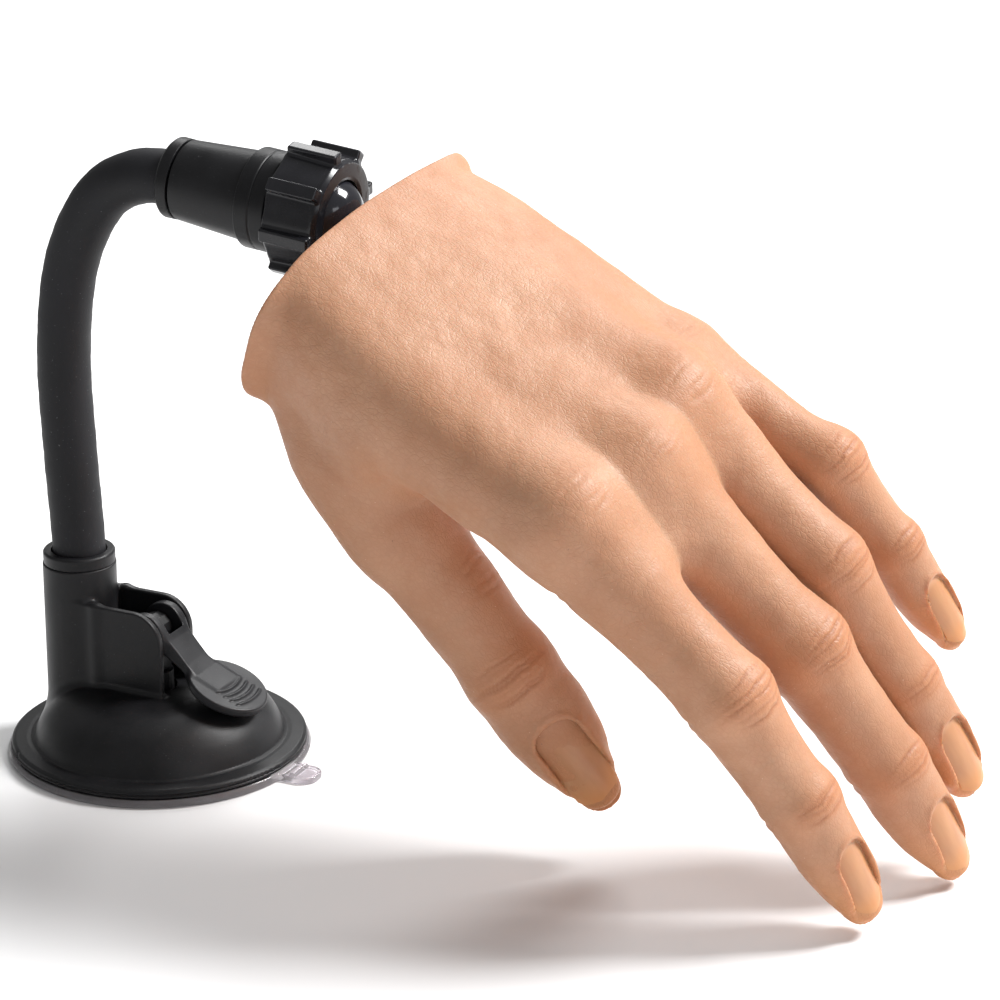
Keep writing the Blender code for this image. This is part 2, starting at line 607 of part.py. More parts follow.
# palm frame: a plate with a boss for the stud and one arm to each knuckle
palm_frame = boolean(box(34.0, PLATE_END, -15.0, 27.0, PLATE_Z - 1.5, PLATE_Z + 1.5),
                     ("UNION", box(33.0, 38.0, BY - 7.0, BY + 7.0, BZ - 6.0, BZ + 6.0)))
arm_frames = {}
FORK = 11.0                                        # length of each knuckle's fork
for name, spec in FINGERS.items():
    (x, y, z), spread = spec[0], spec[3]
    m = Matrix.Translation(V(x, y, z)) @ Matrix.Rotation(radians(-spread), 4, "Z") @ Matrix.Translation(V(-FORK, 0, 0))
    root = Vector((PLATE_END - 3.0, y * 0.68 + 1.5, PLATE_Z))
    inside = m @ V(2.0, 0, 0) / MM
    arm_frames[name] = (m, root, inside)
    fork = bone(FORK, tongue=False, fork=True)
    fork.transform(m)
    palm_frame = boolean(palm_frame, ("UNION", fork), ("UNION", rod(2.1, root, inside, 10)))
palm_frame = boolean(palm_frame, ("DIFFERENCE", box(38.05, 46.5, BY - 5.6, BY + 5.6, -9, 9)), ("DIFFERENCE", rod(2.65, (30, BY, BZ), (45, BY, BZ), 12)))
place("palm_frame", palm_frame, NYLON, HAND, "hand_roll")
hexnut = boolean(rod(4.6, (38.3, BY, BZ), (41.6, BY, BZ), 6), ("DIFFERENCE", rod(2.65, (36, BY, BZ), (45, BY, BZ), 12)))
place("stud_nut", hexnut, STEEL, HAND, "hand_roll")
thumb_root = THUMB[0] @ Matrix.Translation(V(8.0, 0, 0))
place("thumb_metacarpal", bone(THUMB_LEN[0] - 8.0, tongue=False, fork=True), NYLON, HAND @ thumb_root, "hand_roll")

# ================================================================ silicone skin
N = 12


def section(x, ry, rz, bend=None, front=1, n=N):
    """Ring across a bone. bend=(back, palm) half-angles slope an end face away
    from its joint, so that the joint can bend without the skins meeting."""
    ring = []
    for k in range(n):
        a = 2 * pi * (k + 0.5) / n
        y, z = ry * cos(a), rz * sin(a)
        dx = 0.0
        if bend:
            dx = front * abs(z) * tan(radians(bend[0] if z > 0 else bend[1]))
        ring.append((x + dx, y, z))
    return ring


def segment_skin(length, r0, r1, bend0, bend1, last=False):
    """Skin of one finger bone, from V-faced end to V-faced end, with the bore."""
    g = 0.45
    rings = []
    mid = [(0.28, 0.97), (0.55, 0.955), (0.8, 0.97)]
    rings.append(section(g, r0 * SIDE, r0, bend0, 1))
    if last:
        for t, w in ((0.35, 1.02), (0.62, 0.99), (0.82, 0.88)):
            rr = (r0 + (r0 * 0.86 - r0) * t) * w
            rings.append(section(length * t, rr * SIDE, rr * 0.96))
        for t, w in ((0.4, 0.93), (0.75, 0.66), (0.94, 0.34)):
            rings.append(section(length + r1 * t - 1.0, r0 * 0.78 * w * SIDE, r0 * 0.70 * w))
        rings.append([(length + r1 - 1.0 + 0.05, 0, 0)])
    else:
        for t, w in mid:
            rr = (r0 + (r1 - r0) * t) * w
            rings.append(section(length * t, rr * SIDE, rr))
        rings.append(section(length - g, r1 * SIDE, r1, bend1, -1))
    inner = [section(g, POCKET, POCKET, bend0, 1), section(5.0, BORE, BORE)]
    if last:
        inner.append(section(length - 9.0, BORE, BORE))
        inner.append([(length - 8.8, 0, 0)])
        return loft([inner[-1]] + inner[:-1][::-1] + rings)
    inner += [section(length - 5.0, BORE, BORE), section(length - g, POCKET, POCKET, bend1, -1)]
    return loft(rings + inner[::-1], closed=True)


NAMES = ("proximal", "middle", "distal")
SPLAY = [(9.5, 36.0), (6.5, 37.0), (6.5, 27.0)]    # end-face slopes on the back and palm sides
for name, spec in FINGERS.items():
    lengths, radii = spec[1], spec[2]
    owner = "hand_roll"
    for k in range(3):
        m = HAND @ FRAMES[name][k]
        owner = joint_empty("%s_joint_%d" % (name, k + 1), m, owner)
        last = k == 2
        skin = segment_skin(lengths[k], radii[k] * (0.97 if k == 0 else 1.0), radii[k + 1], SPLAY[k], SPLAY[min(k + 1, 2)], last)
        place("%s_%s_skin" % (name, NAMES[k]), skin, SKIN, m, owner, 60)
        place("%s_%s_bone" % (name, NAMES[k]), bone(lengths[k] - (10.0 if last else 0.0), True, not last), NYLON, m, owner)
owner = "hand_roll"
for k in (1, 2):
    m = HAND @ THUMB[k]
    owner = joint_empty("thumb_joint_%d" % k, m, owner)
    last = k == 2
    skin = segment_skin(THUMB_LEN[k], THUMB_RAD[k], THUMB_RAD[k + 1], (9.0, 26.0), (9.0, 26.0), last)
    place("thumb_%s_skin" % NAMES[k if last else 0], skin, SKIN, m, owner, 60)
    place("thumb_%s_bone" % NAMES[k if last else 0], bone(THUMB_LEN[k] - (10.0 if last else 0.0), True, not last), NYLON, m, owner)

# ---- palm: columns across the hand, ends cut back from each knuckle
knuckles = [Vector(FINGERS[f][0]) for f in ("index", "middle", "ring", "little")]
half = ((10.6, 9.7), (9.6, 9.4), (9.3, 7.2), (7.8, 9.6))
cols = []                                          # (y, knuckle x, knuckle z) of the front face's columns
for p, h in zip(knuckles, half):
    for t in (-1.0, -0.33, 0.33, 1.0):
        cols.append((p.y + (h[0] if t < 0 else h[1]) * t, p.x, p.z))
NC = len(cols)


def palm_ring(x, yc, w, top, bottom):
    """Section of the palm at x: rim points at both sides, columns between."""
    up, down = [], []
    for j in range(NC):
        u = -1 + 2 * j / (NC - 1)
        e = max(0.0, 1 - abs(u) ** 2.6) ** (1 / 2.2)
        y = yc + w * u
        up.append((x, y, top * e + 0.0))
        down.append((x, y, -bottom * e))
    return up, down


def palm_end():
    up, down, mid = [], [], []
    for j, (y, kx, kz) in enumerate(cols):
        u = -1 + 2 * j / (NC - 1)
        e = 0.55 + 0.45 * max(0.0, 1 - abs(u) ** 3) ** 0.5
        t, b = kz + 11.0 * e, kz - 11.5 * e
        back = 1.2 + (0.0 if j % 4 in (1, 2) else 1.6)
        up.append((kx - back - (t - kz) * tan(radians(10.0)), y, t))
        down.append((kx - back - (kz - b) * tan(radians(38.0)), y, b))
        mid.append((kx - back, y, kz))
    return up, down, mid


def palm_body():
    bm = bmesh.new()
    stations = [palm_ring(WRIST_X, 0.5, 32.0, 12.5, 16.0), palm_ring(44, 1.0, 33.5, 13.0, 16.5), palm_ring(66, 1.0, 33.8, 12.0, 16.5)]
    end_up, end_down, end_mid = palm_end()
    stations.append(([(x * 0.45 + 66 * 0.55 + 6, y, z * 1.05) for x, y, z in end_up], [(x * 0.45 + 66 * 0.55 + 4, y, z * 1.1) for x, y, z in end_down]))
    stations.append((end_up, end_down))
    rows = []
    for up, down in stations:
        a = [bm.verts.new(Vector(p) * MM) for p in up]
        b = [bm.verts.new(Vector(p) * MM) for p in down]
        rows.append((a, b))
    for (a0, b0), (a1, b1) in zip(rows, rows[1:]):
        for j in range(NC - 1):
            bm.faces.new((a0[j], a0[j + 1], a1[j + 1], a1[j]))
            bm.faces.new((b0[j], b1[j], b1[j + 1], b0[j + 1]))
        bm.faces.new((a0[0], a1[0], b1[0], b0[0]))
        bm.faces.new((a0[-1], b0[-1], b1[-1], a1[-1]))
    a, b = rows[0]
    for j in range(NC - 1):                        # wrist face
        bm.faces.new((a[j], b[j], b[j + 1], a[j + 1]))
    a, b = rows[-1]
    mid = [bm.verts.new(Vector(p) * MM) for p in end_mid]
    for j in range(NC - 1):                        # knuckle face, upper and lower slope
        bm.faces.new((a[j], a[j + 1], mid[j + 1], mid[j]))
        bm.faces.new((mid[j], mid[j + 1], b[j + 1], b[j]))
    bm.faces.new((a[0], mid[0], b[0]))
    bm.faces.new((a[-1], b[-1], mid[-1]))
    bmesh.ops.remove_doubles(bm, verts=bm.verts, dist=1e-5)
    bmesh.ops.dissolve_degenerate(bm, dist=1e-6, edges=bm.edges)
    bmesh.ops.triangulate(bm, faces=bm.faces)
    return tidy(from_bmesh(bm))


def thumb_base():
    m = THUMB[0]
    L, r = THUMB_LEN[0], THUMB_RAD
    rings = [[(4.0, 0, 0)], section(5.0, 5.0, 5.0, n=16), section(13, 8.5, 8.5, n=16), section(26, 12.8, 12.8, n=16), section(38, 13.2, 13.0, n=16),
             section(L - 0.6, r[1] * 0.95, r[1], (9.0, 26.0), -1, n=16), [(L - 0.6, 0, 0)]]
    me = loft(rings)
    me.transform(m)
    return me


cuts = [("UNION", thumb_base()),
        ("DIFFERENCE", box(32.5, PLATE_END + 0.6, -15.6, 27.6, PLATE_Z - 2.1, PLATE_Z + 2.1)),
        ("DIFFERENCE", box(32.4, 45.2, BY - 7.6, BY + 7.6, BZ - 6.6, BZ + 6.6)),
        ("DIFFERENCE", rod(3.0, (WRIST_X - 2, BY, BZ), (34.0, BY, BZ), 12))]
for name, (m, root, inside) in arm_frames.items():
    channel = box(-0.7, FORK - 2.0, -LINK_W - 0.6, LINK_W + 0.6, -LINK_H - 0.7, LINK_H + 0.7)
    channel.transform(m)
    cuts.append(("DIFFERENCE", channel))
    cuts.append(("DIFFERENCE", rod(2.8, root, inside, 10)))
    cuts.append(("DIFFERENCE", ball(POCKET + 0.1, FINGERS[name][0], 12, 8)))
channel = box(7.2, THUMB_LEN[0] - 2.0, -LINK_W - 0.6, LINK_W + 0.6, -LINK_H - 0.7, LINK_H + 0.7)
channel.transform(THUMB[0])
joint = ball(POCKET + 0.1, (THUMB_LEN[0], 0, 0), 12, 8)
joint.transform(THUMB[0])
cuts += [("DIFFERENCE", channel), ("DIFFERENCE", joint)]
place("palm_skin", boolean(palm_body(), *cuts), SKIN, HAND, "hand_roll", 60)
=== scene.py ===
from math import cos, sin, tan, radians, pi, sqrt
import bmesh
import bpy
import numpy as np
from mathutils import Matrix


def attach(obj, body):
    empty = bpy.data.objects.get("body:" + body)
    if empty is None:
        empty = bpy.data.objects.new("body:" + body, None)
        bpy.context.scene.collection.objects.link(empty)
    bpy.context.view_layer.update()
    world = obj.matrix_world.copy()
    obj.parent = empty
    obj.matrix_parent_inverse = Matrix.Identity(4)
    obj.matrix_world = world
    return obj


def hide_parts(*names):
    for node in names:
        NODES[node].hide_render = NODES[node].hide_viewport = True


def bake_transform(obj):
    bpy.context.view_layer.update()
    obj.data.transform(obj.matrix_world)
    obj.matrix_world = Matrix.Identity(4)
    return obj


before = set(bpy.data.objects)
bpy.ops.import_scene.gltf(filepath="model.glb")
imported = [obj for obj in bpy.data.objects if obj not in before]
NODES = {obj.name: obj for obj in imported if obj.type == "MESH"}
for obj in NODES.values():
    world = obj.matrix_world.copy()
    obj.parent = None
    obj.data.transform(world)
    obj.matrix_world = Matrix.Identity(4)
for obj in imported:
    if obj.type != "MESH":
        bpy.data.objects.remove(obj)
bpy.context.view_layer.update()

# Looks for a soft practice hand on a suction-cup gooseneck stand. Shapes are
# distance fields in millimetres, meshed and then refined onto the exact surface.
import openvdb
from mathutils import Matrix, Vector

MM = 0.001

# ---------------------------------------------------------------- camera
cam_data = bpy.data.cameras.new("camera")
cam_data.lens, cam_data.sensor_width = 136.8, 36.0
cam_data.clip_start, cam_data.clip_end = 0.05, 20.0
cam = bpy.data.objects.new("camera", cam_data)
cam.location = (0.410917, -0.668434, 0.349314)
cam.rotation_euler = (radians(69.6), 0.0, radians(26.0))
bpy.context.scene.collection.objects.link(cam)
bpy.context.scene.camera = cam
bpy.context.scene.view_settings.view_transform = "Standard"


# ---------------------------------------------------------------- field tools
def ramp(t, a, b):
    u = np.clip((t - a) / (b - a), 0.0, 1.0)
    return u * u * (3.0 - 2.0 * u)


def smin(a, b, k):
    h = np.maximum(k - np.abs(a - b), 0.0) / k
    return np.minimum(a, b) - h * h * k * 0.25


def smax(a, b, k):
    return -smin(-a, -b, k)


def noise(p, scale, seed=0):
    """Smooth value noise in -1..1 with cells of size scale."""
    q = p / scale
    i = np.floor(q).astype(np.int64)
    f = q - i
    f = f * f * (3 - 2 * f)
    out = np.zeros(len(p))
    for dx in (0, 1):
        for dy in (0, 1):
            for dz in (0, 1):
                h = ((i[:, 0] + dx) * 73856093) ^ ((i[:, 1] + dy) * 19349663) ^ ((i[:, 2] + dz) * 83492791) ^ (seed * 2654435761)
                h = (h ^ (h >> 13)) * 1274126177
                h = ((h ^ (h >> 16)) & 0xFFFFFF) / float(0x7FFFFF) - 1.0
                w = (f[:, 0] if dx else 1 - f[:, 0]) * (f[:, 1] if dy else 1 - f[:, 1]) * (f[:, 2] if dz else 1 - f[:, 2])
                out += w * h
    return out


def in_parts(field, p, size=300000):
    return np.concatenate([field(p[k:k + size]) for k in range(0, len(p), size)])


def refined(field, p, steps=3, h=0.06):
    """Points moved onto the surface, and its outward normals there."""
    corners = np.array([(1, -1, -1), (-1, -1, 1), (-1, 1, -1), (1, 1, 1)], float)
    for k in range(steps + 1):
        f = [in_parts(field, p + c * h) for c in corners]
        g = sum(c[None, :] * v[:, None] for c, v in zip(corners, f)) / (4 * h)
        g2 = np.maximum((g * g).sum(1), 0.05)
        if k < steps:
            p = p - (np.clip(sum(f) / 4, -0.6, 0.6) / g2)[:, None] * g
    return p, g / np.sqrt(g2)[:, None]


def surface(field, lo, hi, step, steps=3):
    """Mesh of field = 0: points, quads and normals. Only blocks near the surface are filled."""
    lo = np.array(lo, float)
    nb = np.ceil((np.array(hi, float) - lo) / step / 4).astype(int)
    idx = np.indices(tuple(nb)).reshape(3, -1).T
    centre = in_parts(field, lo + (idx * 4 + 1.5) * step)
    far = 3.0 * step
    full = np.where(centre > 0, far, -far).reshape(tuple(nb)).astype(np.float32)
    full = full.repeat(4, 0).repeat(4, 1).repeat(4, 2)
    near = idx[np.abs(centre) < 7.0 * step]
    offs = np.indices((4, 4, 4)).reshape(3, -1).T
    for k in range(0, len(near), 5000):
        vox = (near[k:k + 5000, None, :] * 4 + offs[None]).reshape(-1, 3)
        full[vox[:, 0], vox[:, 1], vox[:, 2]] = np.clip(field(lo + vox * step), -far, far)
    grid = openvdb.FloatGrid(far)
    grid.copyFromArray(full)
    pts, quads = grid.convertToQuads(0.0)
    pts = lo + np.asarray(pts, float) * step
    quads = np.asarray(quads, np.int64)
    a, b, c = pts[quads[:, 0]], pts[quads[:, 1]], pts[quads[:, 2]]
    if (np.cross(a, b) * c).sum() < 0:
        quads = quads[:, ::-1].copy()
    pts, normals = refined(field, pts, steps)
    return pts, quads, normals


def polygon(q, outline):
    """Signed distance in a plane to a closed outline."""
    v = np.array(outline, float)
    d = np.full(len(q), 1e9)
    s = np.ones(len(q))
    x, y = q[:, 0], q[:, 1]
    for i in range(len(v)):
        a, b = v[i], v[i - 1]
        e = b - a
        wx, wy = x - a[0], y - a[1]
        t = np.clip((wx * e[0] + wy * e[1]) / (e @ e), 0, 1)
        d = np.minimum(d, (wx - e[0] * t) ** 2 + (wy - e[1] * t) ** 2)
        c1, c2, c3 = y >= a[1], y < b[1], e[0] * wy > e[1] * wx
        s = np.where((c1 & c2 & c3) | (~c1 & ~c2 & ~c3), -s, s)
    return s * np.sqrt(d)


def turned_field(p, outline, cx=0.0, cy=0.0):
    return polygon(np.stack([np.hypot(p[:, 0] - cx, p[:, 1] - cy), p[:, 2]], 1), outline)


def slab_field(d2, w, half, r=0.0):
    """A flat outline (its distance d2) thickened to +-half along w, edges rounded by r."""
    a, b = d2 + r, np.abs(w) - half + r
    return np.minimum(np.maximum(a, b), 0.0) + np.hypot(np.maximum(a, 0), np.maximum(b, 0)) - r


def box_field(p, lo, hi, r=0.0):
    c, s = (np.array(lo) + np.array(hi)) / 2, (np.array(hi) - np.array(lo)) / 2
    q = np.abs(p - c) - s + r
    return np.sqrt((np.maximum(q, 0) ** 2).sum(1)) + np.minimum(q.max(1), 0) - r


def rod_field(p, a, b, r):
    a, b = np.array(a, float), np.array(b, float)
    d = b - a
    n = np.linalg.norm(d)
    d /= n
    w = p - a
    t = w @ d
    rr = np.sqrt(np.maximum((w * w).sum(1) - t * t, 0))
    q1, q2 = rr - r, np.abs(t - n / 2) - n / 2
    return np.minimum(np.maximum(q1, q2), 0) + np.hypot(np.maximum(q1, 0), np.maximum(q2, 0))


def smooth_line(points, per=8, closed=False):
    """Catmull-Rom curve through points."""
    p = np.array(points, float)
    n = len(p)
    ext = np.vstack([p[-1], p, p[0], p[1]]) if closed else np.vstack([2 * p[0] - p[1], p, 2 * p[-1] - p[-2]])
    out = []
    for i in range(1, (n + 1) if closed else n):
        a, b, c, d = ext[i - 1], ext[i], ext[i + 1], ext[i + 2]
        for k in range(per):
            t = k / per
            out.append(0.5 * ((2 * b) + (c - a) * t + (2 * a - 5 * b + 4 * c - d) * t * t + (3 * b - a - 3 * c + d) * t ** 3))
    if not closed:
        out.append(p[-1])
    return np.array(out)


# ---------------------------------------------------------------- mesh objects
def new_object(name, pts, faces, normals=None, mat=None, matrix=None, rest=None):
    """Object from points in mm (in the space of matrix) and faces of equal size."""
    faces = np.asarray(faces)
    me = bpy.data.meshes.new(name)
    if matrix is None:
        matrix = np.eye(4)
    world = pts @ matrix[:3, :3].T + matrix[:3, 3]
    me.vertices.add(len(world))
    me.vertices.foreach_set("co", (world * MM).astype(np.float32).ravel())
    me.loops.add(faces.size)
    me.loops.foreach_set("vertex_index", faces.astype(np.int32).ravel())
    me.polygons.add(len(faces))
    me.polygons.foreach_set("loop_start", (np.arange(len(faces)) * faces.shape[1]).astype(np.int32))
    me.update(calc_edges=True)
    me.shade_smooth()
    if normals is not None:
        me.normals_split_custom_set_from_vertices([tuple(n) for n in (normals @ matrix[:3, :3].T)])
    layer = me.attributes.new("rest_co", "FLOAT_VECTOR", "POINT")
    layer.data.foreach_set("vector", ((pts if rest is None else rest) * MM).astype(np.float32).ravel())
    if mat:
        me.materials.append(mat)
    ob = bpy.data.objects.new(name, me)
    bpy.context.scene.collection.objects.link(ob)
    return ob


def number_layer(ob, name, values):
    layer = ob.data.attributes.new(name, "FLOAT", "POINT")
    layer.data.foreach_set("value", np.asarray(values, np.float32))


def colour_layer(ob, name, rgb):
    layer = ob.data.attributes.new(name, "FLOAT_COLOR", "POINT")
    layer.data.foreach_set("color", np.concatenate([rgb, np.ones((len(rgb), 1))], 1).astype(np.float32).ravel())


def lathe(name, profile, mat, matrix, sides=128, ring=False, r=0.25):
    """Turned piece: (radius, height) corners rounded by r, revolved about local Z. The profile runs up its outer side."""
    n = len(profile)
    line = []
    for i, (x, z) in enumerate(profile):
        p = np.array((x, z), float)
        ends = (not ring) and i in (0, n - 1)
        if ends or r == 0:
            line.append(p)
            continue
        a, b = np.array(profile[i - 1], float) - p, np.array(profile[(i + 1) % n], float) - p
        la, lb = np.linalg.norm(a), np.linalg.norm(b)
        turn = np.arccos(np.clip((a @ b) / (la * lb), -1, 1))
        if turn > radians(163):
            line.append(p)
            continue
        cut = min(r, 0.42 * la, 0.42 * lb)
        pa, pb = p + a / la * cut, p + b / lb * cut
        for k in range(5):
            t = k / 4
            line.append(pa * (1 - t) ** 2 + 2 * p * t * (1 - t) + pb * t * t)
    line = np.array(line)
    m = len(line)
    a = np.arange(sides) * 2 * pi / sides
    pts = np.stack([line[:, None, 0] * np.cos(a), line[:, None, 0] * np.sin(a), np.repeat(line[:, 1:2], sides, 1)], 2).reshape(-1, 3)
    faces = []
    for i in range(m if ring else m - 1):
        j = (i + 1) % m
        k = np.arange(sides)
        k2 = (k + 1) % sides
        faces.append(np.stack([i * sides + k, i * sides + k2, j * sides + k2, j * sides + k], 1))
    faces = np.concatenate(faces)
    ob = new_object(name, pts, faces, None, mat, matrix)
    bm = bmesh.new()
    bm.from_mesh(ob.data)
    bmesh.ops.remove_doubles(bm, verts=bm.verts, dist=1e-7)
    bmesh.ops.recalc_face_normals(bm, faces=bm.faces)
    bm.to_mesh(ob.data)
    bm.free()
    ob.data.shade_smooth()
    wn = ob.modifiers.new("even", "WEIGHTED_NORMAL")
    wn.mode, wn.weight, wn.keep_sharp = "FACE_AREA", 90, True
    return ob


def mat4(m):
    """A mathutils matrix in metres as a numpy matrix in millimetres."""
    a = np.array(m, float)
    a[:3, 3] /= MM
    return a


# ---------------------------------------------------------------- node helpers
class Nodes:
    """A material's node tree with short calls."""

    def __init__(self, name, attribute=True):
        self.mat = bpy.data.materials.new(name)
        self.mat.use_nodes = True
        self.t = self.mat.node_tree
        self.bsdf = self.t.nodes["Principled BSDF"]
        if attribute:
            n = self.t.nodes.new("ShaderNodeAttribute")
            n.attribute_name = "rest_co"
            self.co = n.outputs["Vector"]
        else:
            self.co = self.t.nodes.new("ShaderNodeTexCoord").outputs["Object"]

    def set(self, **kw):
        for k, v in kw.items():
            self.bsdf.inputs[k.replace("_", " ")].default_value = v

    def link(self, a, b):
        self.t.links.new(a, b)

    def noise(self, scale, detail=3.0, rough=0.5, co=None, distortion=0.0):
        n = self.t.nodes.new("ShaderNodeTexNoise")
        n.inputs["Scale"].default_value = scale
        n.inputs["Detail"].default_value = detail
        n.inputs["Roughness"].default_value = rough
        n.inputs["Distortion"].default_value = distortion
        self.link(co or self.co, n.inputs["Vector"])
        return n.outputs["Fac"]

    def cells(self, scale, feature="DISTANCE_TO_EDGE", co=None, out="Distance"):
        n = self.t.nodes.new("ShaderNodeTexVoronoi")
        n.feature = feature
        n.inputs["Scale"].default_value = scale
        self.link(co or self.co, n.inputs["Vector"])
        return n.outputs[out]

    def stretch(self, scale, turn=(0, 0, 0), co=None):
        n = self.t.nodes.new("ShaderNodeMapping")
        n.inputs["Scale"].default_value = scale
        n.inputs["Rotation"].default_value = [radians(a) for a in turn]
        self.link(co or self.co, n.inputs["Vector"])
        return n.outputs["Vector"]

    def map(self, v, a, b, c=0.0, d=1.0, smooth=False):
        n = self.t.nodes.new("ShaderNodeMapRange")
        n.interpolation_type = "SMOOTHSTEP" if smooth else "LINEAR"
        for s, x in zip(("From Min", "From Max", "To Min", "To Max"), (a, b, c, d)):
            n.inputs[s].default_value = x
        self.link(v, n.inputs["Value"])
        return n.outputs["Result"]

    def math(self, op, a, b=None):
        n = self.t.nodes.new("ShaderNodeMath")
        n.operation = op
        for k, x in enumerate((a, b)):
            if x is None:
                continue
            if isinstance(x, (int, float)):
                n.inputs[k].default_value = x
            else:
                self.link(x, n.inputs[k])
        return n.outputs[0]

    def mix(self, fac, a, b, how="MIX"):
        n = self.t.nodes.new("ShaderNodeMix")
        n.data_type, n.blend_type = "RGBA", how
        for k, x in ((0, fac), (6, a), (7, b)):
            if isinstance(x, (int, float)):
                n.inputs[k].default_value = x
            elif isinstance(x, tuple):
                n.inputs[k].default_value = (*x, 1.0)
            else:
                self.link(x, n.inputs[k])
        return n.outputs[2]

    def bump(self, height, strength, distance, normal=None):
        n = self.t.nodes.new("ShaderNodeBump")
        n.inputs["Strength"].default_value = strength
        n.inputs["Distance"].default_value = distance
        self.link(height, n.inputs["Height"])
        if normal:
            self.link(normal, n.inputs["Normal"])
        return n.outputs["Normal"]

    def layer(self, name, out="Fac"):
        n = self.t.nodes.new("ShaderNodeAttribute")
        n.attribute_name = name
        return n.outputs[out]

    def split(self, colour):
        n = self.t.nodes.new("ShaderNodeSeparateColor")
        self.link(colour, n.inputs[0])
        return n.outputs


def plastic(name, colour, rough, grain, grain_depth, attribute=True, spread=0.12, dust=0.25, shine=0.28):
    """Moulded plastic or rubber: fine grain, faint cloudiness in the gloss and a little dust."""
    n = Nodes(name, attribute)
    n.set(Specular_IOR_Level=shine)
    cloud = n.noise(70.0, 4.0, 0.55)
    fine = n.noise(grain, 2.0, 0.6)
    spots = n.map(n.noise(2300.0, 1.0, 0.4), 0.74, 0.82)
    lighter = tuple(c * 1.9 + 0.004 for c in colour)
    base = n.mix(n.map(cloud, 0.35, 0.75), colour, lighter)
    base = n.mix(n.math("MULTIPLY", spots, dust), base, (0.16, 0.16, 0.17))
    n.link(base, n.bsdf.inputs["Base Color"])
    n.link(n.map(cloud, 0.3, 0.7, rough - spread / 2, rough + spread), n.bsdf.inputs["Roughness"])
    n.link(n.bump(fine, 0.35, grain_depth), n.bsdf.inputs["Normal"])
    return n.mat


MOULDED = plastic("moulded_black", (0.0050, 0.0050, 0.0058), 0.40, 2600.0, 0.00006)
MOULDED_CAD = plastic("moulded_black_inner", (0.0050, 0.0050, 0.0058), 0.42, 2600.0, 0.00006, attribute=False)
LEVER = plastic("lever_black", (0.0075, 0.0075, 0.0088), 0.38, 2600.0, 0.00005)
GLOSS = plastic("gloss_black", (0.008, 0.008, 0.010), 0.20, 1500.0, 0.00002, spread=0.08, shine=0.42)
BALL = plastic("ball_black", (0.012, 0.012, 0.016), 0.12, 1200.0, 0.00001, spread=0.05, dust=0.1, shine=0.6)
RING = plastic("ring_black", (0.010, 0.010, 0.011), 0.55, 2200.0, 0.00009, dust=0.9)
RUBBER = plastic("black_rubber", (0.0065, 0.0065, 0.0080), 0.56, 1700.0, 0.00009, dust=0.5)
RUBBER_CAD = plastic("black_rubber_inner", (0.0105, 0.0105, 0.0125), 0.55, 1700.0, 0.00009, attribute=False)
NYLON = plastic("white_nylon", (0.42, 0.41, 0.37), 0.5, 1500.0, 0.00005, attribute=False)


def steel():
    n = Nodes("zinc_steel", False)
    n.set(Metallic=1.0)
    lines = n.noise(400.0, 3.0, 0.6, n.stretch((1, 1, 0.06)))
    n.link(n.mix(lines, (0.42, 0.42, 0.43), (0.66, 0.66, 0.68)), n.bsdf.inputs["Base Color"])
    n.link(n.map(lines, 0.3, 0.7, 0.28, 0.48), n.bsdf.inputs["Roughness"])
    n.link(n.bump(lines, 0.2, 0.00002), n.bsdf.inputs["Normal"])
    return n.mat


STEEL = steel()


def clear():
    """Soft clear plastic of the suction pad, with faint clouding."""
    n = Nodes("clear_pad")
    n.set(Transmission_Weight=0.85, IOR=1.45, Specular_IOR_Level=0.6)
    cloud = n.noise(120.0, 4.0, 0.6)
    n.link(n.mix(cloud, (0.80, 0.74, 0.79), (0.95, 0.92, 0.95)), n.bsdf.inputs["Base Color"])
    n.link(n.map(cloud, 0.3, 0.7, 0.07, 0.20), n.bsdf.inputs["Roughness"])
    n.link(n.bump(n.noise(500.0, 2.0), 0.15, 0.00005), n.bsdf.inputs["Normal"])
    return n.mat


CLEAR = clear()


